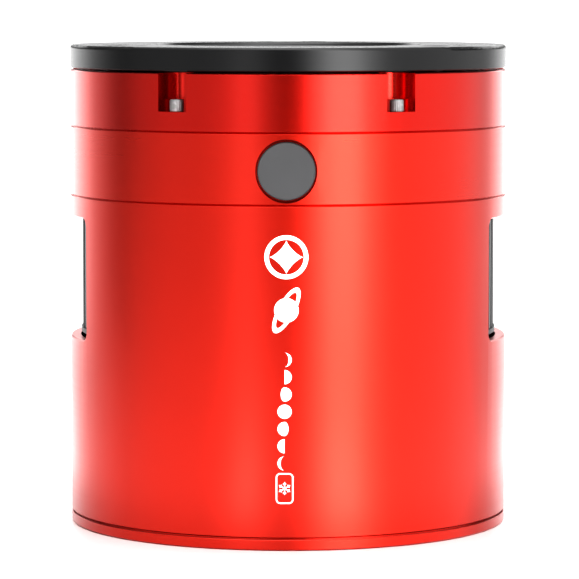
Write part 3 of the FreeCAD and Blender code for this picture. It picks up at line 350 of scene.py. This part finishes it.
screw_steel("stainless steel", (0.52, 0.51, 0.50), (0.70, 0.70, 0.70), 0.28,
            "board_screws", "main_board_screws", "fan_shaft")
zinc = screw_steel("frosted zinc", (0.20, 0.19, 0.19), (0.34, 0.33, 0.33), 0.48, "ring_screws")
zinc.shader.inputs["Metallic"].default_value = 0.7
screw_low, screw_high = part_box("ring_screws")
SCREW_BEARINGS = 30 + 60 * np.arange(6)
SCREW_CIRCLE, HEAD_SEAT = 0.0432, 0.08587
HEAD_RADIUS, SHANK_RADIUS, SOCKET_HALF, KNURLS = 0.0014, 0.0008, 0.00065, 24
ring_heads = make_piece(
    "ring_screws_knurled",
    cap_screws(SCREW_BEARINGS, SCREW_CIRCLE, screw_low.z, HEAD_SEAT, screw_high.z,
               HEAD_RADIUS, SHANK_RADIUS, SOCKET_HALF, KNURLS),
    zinc, "camera")
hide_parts("ring_screws")


# ---- Desiccant plug ------------------------------------------------------------------------------
# A flat round stopper of dull dark rubber-coated metal that closes the drying chamber; two white
# tablets and a black O-ring sit on its stem.

def moulded(name, shade, light, roughness, grain, depth, *nodes):
    """Rubber or plastic from a mould: an even fine grain with slightly cloudy colour and gloss."""
    made = Finish(name, {"Metallic": 0.0, "IOR": 1.5})
    pores = made.noise(grain, detail=2.0)
    cloud = made.noise(0.006, detail=3.0)
    made.feed("Base Color", made.blend(shade, light, cloud * 0.6 + pores * 0.4))
    made.feed("Roughness", roughness + pores * 0.10 - cloud * 0.05)
    made.relief(pores, depth)
    made.dress(*nodes)
    return made


moulded("dark grey rubber", (0.036, 0.036, 0.037), (0.048, 0.048, 0.050), 0.62, 0.00016, 0.000006,
        "desiccant_plug")
moulded("black rubber", (0.016, 0.016, 0.016), (0.03, 0.03, 0.03), 0.50, 0.0002, 0.000005,
        "window_o_ring", "chamber_o_ring", "plug_o_ring", "sink_gasket", "fan_spacer")
moulded("pressed desiccant", (0.74, 0.73, 0.68), (0.86, 0.85, 0.81), 0.85, 0.00035, 0.00004,
        "desiccant_tablets")


# ---- Window, light seal and dew heater -----------------------------------------------------------
# A coated optical window over the sensor chamber. The coating leaves only a weak bluish-green
# reflection.

def coated_glass(name, tint, *nodes):
    """Clear glass with a thin coating, whose faint colour and smoothness drift over the pane."""
    made = Finish(name, {
        "Metallic": 0.0, "IOR": 1.46, "Transmission Weight": 1.0, "Specular IOR Level": 0.22})
    drift = made.noise(0.03, detail=1.0)
    made.feed("Base Color", made.blend((1.0, 1.0, 1.0), tint, drift))
    made.feed("Roughness", drift * 0.015)
    made.dress(*nodes)


coated_glass("coated window", (0.90, 0.97, 0.96), "window_glass")
coated_glass("coated sensor cover", (0.88, 0.95, 1.0), "sensor_glass")
moulded("closed-cell foam", (0.018, 0.018, 0.019), (0.05, 0.05, 0.052), 0.92, 0.0005, 0.00008,
        "tilt_seal", "cooler_foam")


def polyimide(name, film, copper, *nodes):
    """Amber film over copper tracks, which show as broad darker bands."""
    made = Finish(name, {"Metallic": 0.0, "IOR": 1.6, "Coat Weight": 0.4, "Coat Roughness": 0.15})
    bands = made.node("ShaderNodeTexWave", {"wave_type": "BANDS", "bands_direction": "X"},
                      {"Vector": made.place, "Scale": 320.0, "Distortion": 0.0}, "Fac")
    tracks = bands.beyond(0.45, 0.2)
    cloud = made.noise(0.002, detail=2.0)
    made.feed("Base Color", made.blend(film, copper, tracks * 0.8 + cloud * 0.2))
    made.feed("Roughness", 0.34 + cloud * 0.1)
    made.relief(tracks, 0.00002)
    made.dress(*nodes)


polyimide("polyimide film", (0.52, 0.25, 0.06), (0.36, 0.15, 0.03), "dew_heater", "sensor_ribbon")


# ---- Sensor --------------------------------------------------------------------------------------
# A silicon die in a dark ceramic package, with a frame of bare bus metal round the light-sensitive
# area, whose colour drifts between green and purple as a painted sheen, wire bonds along its long
# sides, and a green circuit board below.

die_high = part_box("sensor_die")[1]
ARRAY_HALF_X, ARRAY_HALF_Y = 0.0182, 0.0121
silicon = Finish("sensor silicon", {
    "Metallic": 0.0, "IOR": 2.6, "Coat Weight": 1.0, "Coat Roughness": 0.05})
margin_x = silicon.node("ShaderNodeMath", {"operation": "ABSOLUTE"}, {0: silicon.x}).beyond(
    ARRAY_HALF_X, 0.0002)
margin_y = silicon.node("ShaderNodeMath", {"operation": "ABSOLUTE"}, {0: silicon.y}).beyond(
    ARRAY_HALF_Y, 0.0002)
margin = silicon.node("ShaderNodeMath", {"operation": "MAXIMUM"}, {0: margin_x, 1: margin_y})
lens_rows = silicon.noise(0.00008, detail=1.0)
# Painted sheen: this noise moves the array's colour between green and purple, standing in for the
# coloured sheen that light gives the lens rows.
sheen = silicon.noise(0.02, detail=1.0)
array = silicon.blend((0.030, 0.055, 0.050), (0.045, 0.035, 0.070), sheen * 0.8 + lens_rows * 0.2)
border = silicon.blend((0.10, 0.10, 0.11), (0.2, 0.19, 0.17), lens_rows)
silicon.feed("Base Color", silicon.blend(array, border, margin))
silicon.feed("Roughness", 0.16 + lens_rows * 0.1 + margin * 0.1)
silicon.relief(lens_rows, 0.000002)
silicon.dress("sensor_die")


def ceramic(name, shade, light, roughness, *nodes):
    """Fired ceramic: a matt body with fine grains and a few darker specks."""
    made = Finish(name, {"Metallic": 0.0, "IOR": 1.7})
    grains = made.cells(0.00025)
    specks = made.noise(0.0008, detail=3.0).beyond(0.68, 0.05)
    speck_shade = tuple(0.7 * part for part in shade)
    made.feed("Base Color", made.blend(made.blend(shade, light, grains), speck_shade, specks * 0.6))
    made.feed("Roughness", roughness + grains * 0.08)
    made.relief(grains, 0.000004)
    made.dress(*nodes)


ceramic("package ceramic", (0.06, 0.045, 0.04), (0.085, 0.065, 0.058), 0.55, "sensor_package")
ceramic("alumina", (0.80, 0.79, 0.75), (0.88, 0.87, 0.84), 0.60, "peltier_plates")
ceramic("tellurium alloy", (0.34, 0.34, 0.36), (0.46, 0.46, 0.48), 0.45, "peltier_pellets")


def bond_wires(count, pitch, inner, outer, low, high, thickness):
    """Fine wires from the die's edge to the package's ledge, on both long sides. Each is a square
    tube along a half sine arch: its height above a straight line is the sine of the share of the
    way gone."""
    way = np.linspace(0, 1, 7)
    reach = inner + (outer - inner) * way
    rise = low + (high - low) * np.sin(np.pi * way) ** 0.8
    corner = np.array([[-1, -1], [1, -1], [1, 1], [-1, 1]]) * thickness / 2
    sheets = []
    for side in (-1, 1):
        for k in range(count):
            x = (k - (count - 1) / 2) * pitch + corner[:, 0] + 0 * way[:, None]
            y = side * reach[:, None] + 0 * corner[:, 0]
            z = rise[:, None] + corner[:, 1]
            sheets.append(sheet(np.stack([x, y, z], -1), ring=True, flip=side < 0))
    return sheets


gold = Finish("bond gold", {"Metallic": 1.0, "IOR": 1.5})
gold_tone = gold.noise(0.0004, detail=1.0)
gold.feed("Base Color", gold.blend((0.78, 0.55, 0.22), (0.90, 0.68, 0.32), gold_tone))
gold.feed("Roughness", 0.2 + gold_tone * 0.1)
gold.relief(gold_tone, 0.000002)
WIRE_COUNT, WIRE_PITCH, WIRE_THICKNESS, WIRE_ARCH = 96, 0.00036, 0.00005, 0.0004
make_piece("sensor_bond_wires",
           bond_wires(WIRE_COUNT, WIRE_PITCH, die_high.y - 0.0004, die_high.y + 0.0013,
                      die_high.z, die_high.z + WIRE_ARCH, WIRE_THICKNESS),
           gold, "camera", crease=60)


# ---- Circuit boards ------------------------------------------------------------------------------
# Glass-fibre boards under green solder mask. Copper tracks stand a little proud under the mask.

def board_mask(name, mask, track, *nodes):
    """Solder mask: tracks run as the edges of large cells, paler where copper lies under the
    green."""
    made = Finish(name, {"Metallic": 0.0, "IOR": 1.5, "Coat Weight": 0.5, "Coat Roughness": 0.18})
    edges = made.cells(0.0035, feature="DISTANCE_TO_EDGE")
    tracks = 1 - edges.beyond(0.07, 0.03)
    weave = made.noise(0.0005, detail=2.0)
    woven = made.blend(mask, tuple(1.3 * part for part in mask), weave)
    made.feed("Base Color", made.blend(woven, track, tracks))
    made.feed("Roughness", 0.38 + weave * 0.1)
    made.relief(tracks * 0.8 + weave * 0.2, 0.00003)
    made.dress(*nodes)


board_mask("solder mask", (0.008, 0.075, 0.03), (0.02, 0.15, 0.06), "sensor_board", "main_board")


def moulded_plastic(name, shade, light, roughness, *nodes):
    """Injection-moulded plastic with a spark-eroded texture."""
    return moulded(name, shade, light, roughness, 0.00022, 0.00001, *nodes)


moulded_plastic("black plastic", (0.014, 0.014, 0.015), (0.022, 0.022, 0.023), 0.42,
                "feedthrough", "air_duct", "fan_frame", "usb_a_tongues", "usb_b_insert", "dc_jack")
moulded_plastic("chip epoxy", (0.018, 0.018, 0.02), (0.03, 0.03, 0.031), 0.55, "board_chips")
moulded_plastic("white plastic", (0.72, 0.72, 0.70), (0.80, 0.80, 0.78), 0.45, "ribbon_socket")
moulded_plastic("thermal silicone", (0.36, 0.38, 0.41), (0.46, 0.48, 0.52), 0.70, "thermal_pad")


# ---- Bare metal parts ----------------------------------------------------------------------------
# The cold finger, posts, tie rods and capacitor cans are plain aluminium with milling or drawing
# lines; the socket sleeves are nickel-plated sheet. The fan has a ferrite magnet, a bronze bearing
# and a copper winding.

def bare_metal(name, shade, light, roughness, lines, *nodes):
    """Bare metal with fine drawn lines, slightly dulled in patches."""
    made = Finish(name, {"Metallic": 1.0, "IOR": 1.5})
    drawn = made.noise(0.0002, lines, detail=3.0)
    dull = made.noise(0.004, detail=3.0)
    made.feed("Base Color", made.blend(shade, light, drawn * 0.5 + dull * 0.5))
    made.feed("Roughness", roughness + dull * 0.10 + drawn * 0.05)
    made.relief(drawn, 0.000004)
    made.dress(*nodes)


bare_metal("bare aluminium", (0.66, 0.67, 0.68), (0.80, 0.81, 0.82), 0.30, (1, 1, 0.08),
           "board_posts", "cold_finger", "tie_rods", "board_capacitors")
bare_metal("nickel plate", (0.62, 0.60, 0.57), (0.74, 0.73, 0.71), 0.20, (1, 1, 0.15),
           "usb_a_shells", "usb_b_shell", "dc_pin")
bare_metal("magnet ferrite", (0.07, 0.07, 0.075), (0.12, 0.12, 0.125), 0.45, (1, 1, 1), "fan_magnet")
bare_metal("sintered bronze", (0.50, 0.36, 0.17), (0.66, 0.50, 0.27), 0.42, (1, 1, 1), "fan_bearing")
bare_metal("copper winding", (0.52, 0.21, 0.09), (0.72, 0.34, 0.16), 0.26, (0.1, 0.1, 3), "fan_stator")


# ---- Heat sink -----------------------------------------------------------------------------------
# A round block of aluminium with straight fins, extruded and then turned round, and anodised black.
# Drawn lines run along the fins, and a little dust lies on them.

sink = Finish("black heat sink", {"Metallic": 0.0, "IOR": 1.62})
sink_lines = sink.noise(0.0004, (0.1, 0.1, 1), detail=3.0)
sink_dust = sink.noise(0.005, detail=3.0)
sink.feed("Base Color", sink.blend((0.012, 0.012, 0.013), (0.03, 0.03, 0.031),
                                   sink_lines * 0.5 + sink_dust * 0.5))
sink.feed("Roughness", 0.34 + sink_dust * 0.08 + sink_lines * 0.06)
sink.relief(sink_lines, 0.000006)
sink.dress("heat_sink")


# ---- Fan rotor -----------------------------------------------------------------------------------
# A moulded hub cup with seven swept blades, thicker in the middle than at their edges and twisted
# from root to tip. It turns with its shaft and magnet ring on the fan's own axis.

def fan_blades(count, centre_y, hub, tip, middle_z):
    """Each blade is a closed lens section carried out from the hub. With s the share of the way
    out, the pitch falls from 48 to 33 degrees, the chord grows from 11 to 13 mm, the section's
    middle sweeps round by 14 degrees and its camber line is a low parabola."""
    s = np.linspace(0, 1, 13)[:, None]
    t = np.linspace(0, 2 * np.pi, 29)[:-1][None, :]
    reach = hub + (tip - hub) * s
    pitch = np.radians(48 - 15 * s)
    chord = 0.0110 + 0.0020 * s
    across = 0.5 * chord * np.cos(t)
    thick = (0.00050 - 0.00015 * s) * np.sin(t) + 0.0011 * (1 - np.cos(t) ** 2) - 0.0005
    swept = np.radians(14 * s ** 1.5) + (across * np.cos(pitch) - thick * np.sin(pitch)) / reach
    height = middle_z + across * np.sin(pitch) + thick * np.cos(pitch)
    sheets = []
    for blade in range(count):
        angle = swept + 2 * np.pi * blade / count
        skin = np.stack([reach * np.cos(angle), centre_y + reach * np.sin(angle), height], -1)
        sheets.append(sheet(skin, ring=True))
        tip_rim = skin[-1]
        closed = np.stack([tip_rim, np.broadcast_to(tip_rim.mean(0), tip_rim.shape)])
        sheets.append(sheet(closed, ring=True))
    return sheets


def hub_cup(centre_y, outer, wall, low, high):
    """The profile of the cup goes round its closed end, up its side with rounded edges, and back
    down inside, and is turned round the fan's axis."""
    corner = 0.0006
    bend = np.linspace(0, np.pi / 2, 6)
    profile = np.array(
        [(0.0, low)]
        + [(outer - corner + corner * np.sin(a), low + corner - corner * np.cos(a)) for a in bend]
        + [(outer, high - 0.0002), (outer - 0.0002, high), (outer - wall, high),
           (outer - wall, low + wall), (0.0, low + wall)])
    turn = np.linspace(0, 2 * np.pi, 73)[:-1]
    points = np.stack([profile[:, :1] * np.cos(turn), centre_y + profile[:, :1] * np.sin(turn),
                       profile[:, 1:] + 0 * turn], -1)
    return sheet(points, ring=True, flip=True)


fan_low, fan_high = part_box("fan_rotor")
fan_black = moulded_plastic("fan plastic", (0.012, 0.012, 0.013), (0.020, 0.020, 0.021), 0.38,
                            "fan_rotor")
FAN_Y, HUB_RADIUS, HUB_WALL = 0.004, 0.012, 0.001
BLADE_COUNT, BLADE_ROOT, BLADE_TIP = 7, 0.0117, 0.0227
rotor = make_piece(
    "fan_rotor_moulding",
    [hub_cup(FAN_Y, HUB_RADIUS, HUB_WALL, fan_low.z, fan_high.z)]
    + fan_blades(BLADE_COUNT, FAN_Y, BLADE_ROOT, BLADE_TIP, (fan_low.z + fan_high.z) / 2),
    fan_black, "fan_rotor", crease=40)
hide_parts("fan_rotor")


# ---- Printed marks -------------------------------------------------------------------------------
# White marks screen-printed on the shell, facing forwards: a star in a ring, a ringed planet, a
# column of moon phases and a snowflake in a rounded box. The ink stands 0.015 mm proud.

def printed(name, flat_sheets, ink):
    """Wraps flat marks round the shell. A mark's sideways place, divided by the radius, is its
    angle from the front, and its height stays."""
    wrapped = []
    for points, faces in flat_sheets:
        angle = points[:, 0] / INK_RADIUS
        around = np.stack([INK_RADIUS * np.sin(angle), -INK_RADIUS * np.cos(angle), points[:, 1]], -1)
        wrapped.append((around, faces))
    return make_piece(name, wrapped, ink, "camera")


def flat_shape(inner, outer):
    """A flat strip between two outlines with as many points each, closed on itself."""
    way = np.linspace(0, 1, 5)[:, None, None]
    return sheet(inner[None] + (outer - inner)[None] * way, ring=True)


def ellipse(x, z, wide, high, tilt=0.0, steps=96):
    """Outline whose points are the half width times the cosine and half height times the sine, then
    tilted."""
    turn = np.linspace(0, 2 * np.pi, steps + 1)[:-1]
    a, b = wide * np.cos(turn), high * np.sin(turn)
    return np.stack([x + a * cos(tilt) - b * sin(tilt), z + a * sin(tilt) + b * cos(tilt)], -1)


def star(x, z, reach, waist):
    """Four-pointed star: the cosine and sine to the power of waist, times the reach."""
    turn = np.linspace(0, 2 * np.pi, 97)[:-1]
    c, s = np.cos(turn), np.sin(turn)
    return np.stack([x + reach * np.sign(c) * np.abs(c) ** waist,
                     z + reach * np.sign(s) * np.abs(s) ** waist], -1)


def moon(x, z, radius, lit):
    """The lit part of a disc, from its limb to the line of shadow: both are half ellipses, and lit,
    from -1 to 1, scales and turns over the shadow's."""
    across = np.linspace(-np.pi / 2, np.pi / 2, 41)[:, None]
    side = np.linspace(1, -lit, 13)[None, :]
    lit_part = np.stack([x + radius * np.cos(across) * side,
                         z + radius * np.sin(across) + 0 * side], -1)
    return sheet(lit_part, flip=True)


def bar(x, z, angle, start, end, thick):
    """A straight stroke from start to end along an angle."""
    along, across = np.array([cos(angle), sin(angle)]), np.array([-sin(angle), cos(angle)])
    way = np.linspace(start, end, 5)[:, None, None]
    return sheet(np.array([x, z]) + way * along + np.array([0.5, -0.5])[None, :, None] * thick * across)


def rounded_box(x, z, wide, high, corner, steps=24):
    """Outline of a box with round corners: a quarter circle about each corner's centre in turn."""
    turn = np.linspace(0, np.pi / 2, steps)
    parts = []
    for quarter, (sx, sz) in enumerate(((1, 1), (-1, 1), (-1, -1), (1, -1))):
        angle = turn + quarter * np.pi / 2
        parts.append(np.stack([x + sx * (wide / 2 - corner) + corner * np.cos(angle),
                               z + sz * (high / 2 - corner) + corner * np.sin(angle)], -1))
    return np.vstack(parts)


INK_RADIUS = 0.045015
white_ink = Finish("white printing ink", {"Metallic": 0.0, "IOR": 1.5})
ink_film = white_ink.noise(0.0004, detail=2.0)
white_ink.feed("Base Color", white_ink.blend((0.86, 0.86, 0.85), (0.93, 0.93, 0.92), ink_film))
white_ink.feed("Roughness", 0.42 + ink_film * 0.12)
white_ink.relief(ink_film, 0.000004)
MARK_X, STAR_Z, PLANET_Z = 0.0, 0.0578, 0.0474
printed("print_star_ring", [
    flat_shape(ellipse(MARK_X, STAR_Z, 0.0034, 0.0034), ellipse(MARK_X, STAR_Z, 0.0043, 0.0043)),
    flat_shape(0 * star(0, 0, 1, 1) + (MARK_X, STAR_Z), star(MARK_X, STAR_Z, 0.0033, 2.6)),
], white_ink)
PLANET_RADIUS, PLANET_TILT = 0.0024, radians(62)
printed("print_planet", [
    flat_shape(ellipse(MARK_X, PLANET_Z, 0.00002, 0.00002),
               ellipse(MARK_X, PLANET_Z, PLANET_RADIUS, PLANET_RADIUS)),
    flat_shape(ellipse(MARK_X, PLANET_Z, 0.0039, 0.0010, PLANET_TILT),
               ellipse(MARK_X, PLANET_Z, 0.0050, 0.0017, PLANET_TILT)),
], white_ink)
COLUMN_X, MOON_RADIUS = -0.00035, 0.0014
WAXING = ((0.0377, -0.55), (0.0343, 0.0), (0.0309, 0.55), (0.0275, 1.0))
WANING = ((0.0241, 0.55), (0.0207, 0.0), (0.0173, -0.55))
printed("print_moon_phases", [
    *[moon(COLUMN_X, z, MOON_RADIUS, lit) for z, lit in WAXING],
    *[(points * (-1, 1) + (2 * COLUMN_X, 0), faces[:, ::-1])
      for points, faces in (moon(COLUMN_X, z, MOON_RADIUS, lit) for z, lit in WANING)],
], white_ink)
SNOW_Z, ARM, FORK_AT, FORK = 0.01235, 0.00125, 0.00072, 0.00040
arms = [radians(30 + 60 * arm) for arm in range(6)]
printed("print_snowflake_box", [
    flat_shape(rounded_box(COLUMN_X, SNOW_Z, 0.0029, 0.0055, 0.0006),
               rounded_box(COLUMN_X, SNOW_Z, 0.0035, 0.0061, 0.0009)),
    *[bar(COLUMN_X, SNOW_Z, arm, 0.0, ARM, 0.00022) for arm in arms],
    *[bar(COLUMN_X + FORK_AT * cos(arm), SNOW_Z + FORK_AT * sin(arm), arm + turned, 0.0, FORK, 0.00018)
      for arm in arms for turned in (radians(-55), radians(55))],
], white_ink)


# ---- Floor ---------------------------------------------------------------------------------------
# A plain pale table top under the camera body, painted with light: the table itself glows in a ring
# round the body and in two soft pools in front to the right and left, and the body mirrors them. A
# hair's gap keeps it clear of the rear cover.

def table_top(radius):
    """A disc: rings of points whose distance from the middle grows with the square of the ring's
    share."""
    share = np.linspace(0, 1, 24)[:, None] ** 2
    turn = np.linspace(0, 2 * np.pi, 97)[:-1]
    reach = radius * share
    points = np.stack([reach * np.cos(turn), reach * np.sin(turn), 0 * share + 0 * turn], -1)
    return sheet(points, ring=True)


table = Finish("pale table", {"Metallic": 0.0, "IOR": 2.2})
paper = table.noise(0.004, detail=3.0)
table.feed("Base Color", table.blend((0.90, 0.90, 0.90), (0.93, 0.93, 0.93), paper))
table.feed("Roughness", 0.16 + paper * 0.04)
# Painted light: the last number is how strongly the table glows in its painted ring and pools.
TABLE_RADIUS, TABLE_DROP, PAINTED_POOL_STRENGTH = 0.42, 0.00005, 4.2
from_middle = (table.x * table.x + table.y * table.y) ** 0.5
BELL = 2.718
RIGHT_BEARING, RIGHT_WIDTH, LEFT_BEARING, LEFT_WIDTH = 23, 11, -17, 8
# Painted light: a glowing ring close round the body that fades outwards, and two painted pools of
# lamplight at the bearings above.
painted_glow = from_middle.beyond(0.095, 0.06) * BELL ** (0 - ((from_middle - 0.10) / 0.13) ** 2.0)
bearing = table.node("ShaderNodeMath", {"operation": "ARCTAN2"},
                     {0: table.x, 1: 0 - table.y}) * (180 / np.pi)
painted_right_pool = BELL ** (0 - ((bearing - RIGHT_BEARING) / RIGHT_WIDTH) ** 2.0)
painted_left_pool = BELL ** (0 - ((bearing - LEFT_BEARING) / LEFT_WIDTH) ** 2.0)
painted_pools = painted_glow * (0.10 + painted_right_pool * 0.82 + painted_left_pool * 0.62)
# The painted ring and pools become the table's own emission.
table.feed("Emission Color", table.blend((0, 0, 0), (1, 1, 1), painted_pools))
table.shader.inputs["Emission Strength"].default_value = PAINTED_POOL_STRENGTH
floor_points, floor_faces = table_top(TABLE_RADIUS)
floor_mesh = bpy.data.meshes.new("floor")
floor_mesh.from_pydata((floor_points - (0, 0, TABLE_DROP)).tolist(), [], floor_faces.tolist())
floor_mesh.materials.append(table.material)
floor = bpy.data.objects.new("floor", floor_mesh)
bpy.context.scene.collection.objects.link(floor)


# ---- Light ---------------------------------------------------------------------------------------
# A pale studio surrounds the table: a strong soft box to the front right, a weaker narrow one to
# the front left, dim walls beside the viewer, a wall behind the object that is bright low down, a
# strip light above that, and a wide soft light overhead.

def studio(levels, overhead, lamp_level, strip_level, back_loss, seen_level):
    """The room's brightness: a level for each bearing round the object in degrees, another for
    overhead with a lamp straight up, and a strip high on the back wall, which itself loses light
    above the horizon. The viewer sees one even level."""
    world = bpy.data.worlds.new("studio")
    bpy.context.scene.world = world
    world.use_nodes = True
    room = Wiring(world.node_tree)
    room.tree.nodes.clear()
    way = room.node("ShaderNodeTexCoord", output="Generated")
    x, y, z = (room.node("ShaderNodeSeparateXYZ", {}, {0: way}, output) for output in "XYZ")
    angle = room.node("ShaderNodeMath", {"operation": "ARCTAN2"}, {0: x, 1: 0 - y})
    bearing = angle / (2 * np.pi) + 0.5
    strongest = max(level for angle, level in levels)
    ring = room.node("ShaderNodeValToRGB", {
        "stops": [((angle + 180) / 360, (level / strongest,) * 3 + (1,)) for angle, level in levels],
        "ramp_interpolation": "EASE"}, {0: bearing}) * strongest
    up = z.beyond(0.80, 0.5)
    behind = y.beyond(0.35, 0.3) * z.beyond(0.055, 0.05)
    strip = y.beyond(0.80, 0.2) * z.beyond(0.20, 0.10) * (1 - z.beyond(0.52, 0.15))
    lamp = z.beyond(0.93, 0.08)
    walls = ring * (1 - behind * back_loss) * (1 - up)
    level = walls + up * overhead + strip * strip_level + lamp * lamp_level
    seen = room.node("ShaderNodeLightPath", output="Is Camera Ray")
    shown = level * (1 - seen) + seen * seen_level
    light = room.node("ShaderNodeBackground", {}, {"Color": (1, 1, 1, 1), "Strength": shown})
    out = room.tree.nodes.new("ShaderNodeOutputWorld")
    room.tree.links.new(light.socket, out.inputs["Surface"])


WALLS = [
    (-180, 1.7), (-135, 1.7), (-119, 1.0), (-97, 0.4), (-80, 0.75), (-60, 0.9), (-45, 0.85), (-32, 1.0),
    (-24, 1.6), (-18, 1.6), (-10, 0.7), (0, 0.22), (7, 0.4), (15, 3.2), (23, 6.5), (35, 6.5), (44, 3.0),
    (56, 1.4), (80, 1.5), (110, 1.4), (128, 1.0), (142, 1.5), (180, 1.7)]
studio(WALLS, overhead=1.6, lamp_level=2.5, strip_level=1.8, back_loss=0.84, seen_level=1.05)

scene = bpy.context.scene
scene.view_settings.view_transform = "Standard"
scene.view_settings.look = "High Contrast"


# ---- Viewer --------------------------------------------------------------------------------------
# A long lens, a little above the middle of the object and looking slightly down, almost straight in
# front of the plug: it stands a fraction of a degree to the right.

SIDE_STEP, LOOK_DOWN = radians(0.43), radians(4.963)
DISTANCE, EYE_HEIGHT = 0.7222, 0.1103
lens = bpy.data.cameras.new("viewer")
lens.sensor_width = 36.0
lens.lens = 216.8
lens.shift_x = 0.0024
lens.clip_start = 0.01
lens.clip_end = 20.0
viewer = bpy.data.objects.new("viewer", lens)
viewer.location = (DISTANCE * sin(SIDE_STEP), -DISTANCE * cos(SIDE_STEP), EYE_HEIGHT)
viewer.rotation_euler = (radians(90) - LOOK_DOWN, 0.0, SIDE_STEP)
scene.collection.objects.link(viewer)
scene.camera = viewer
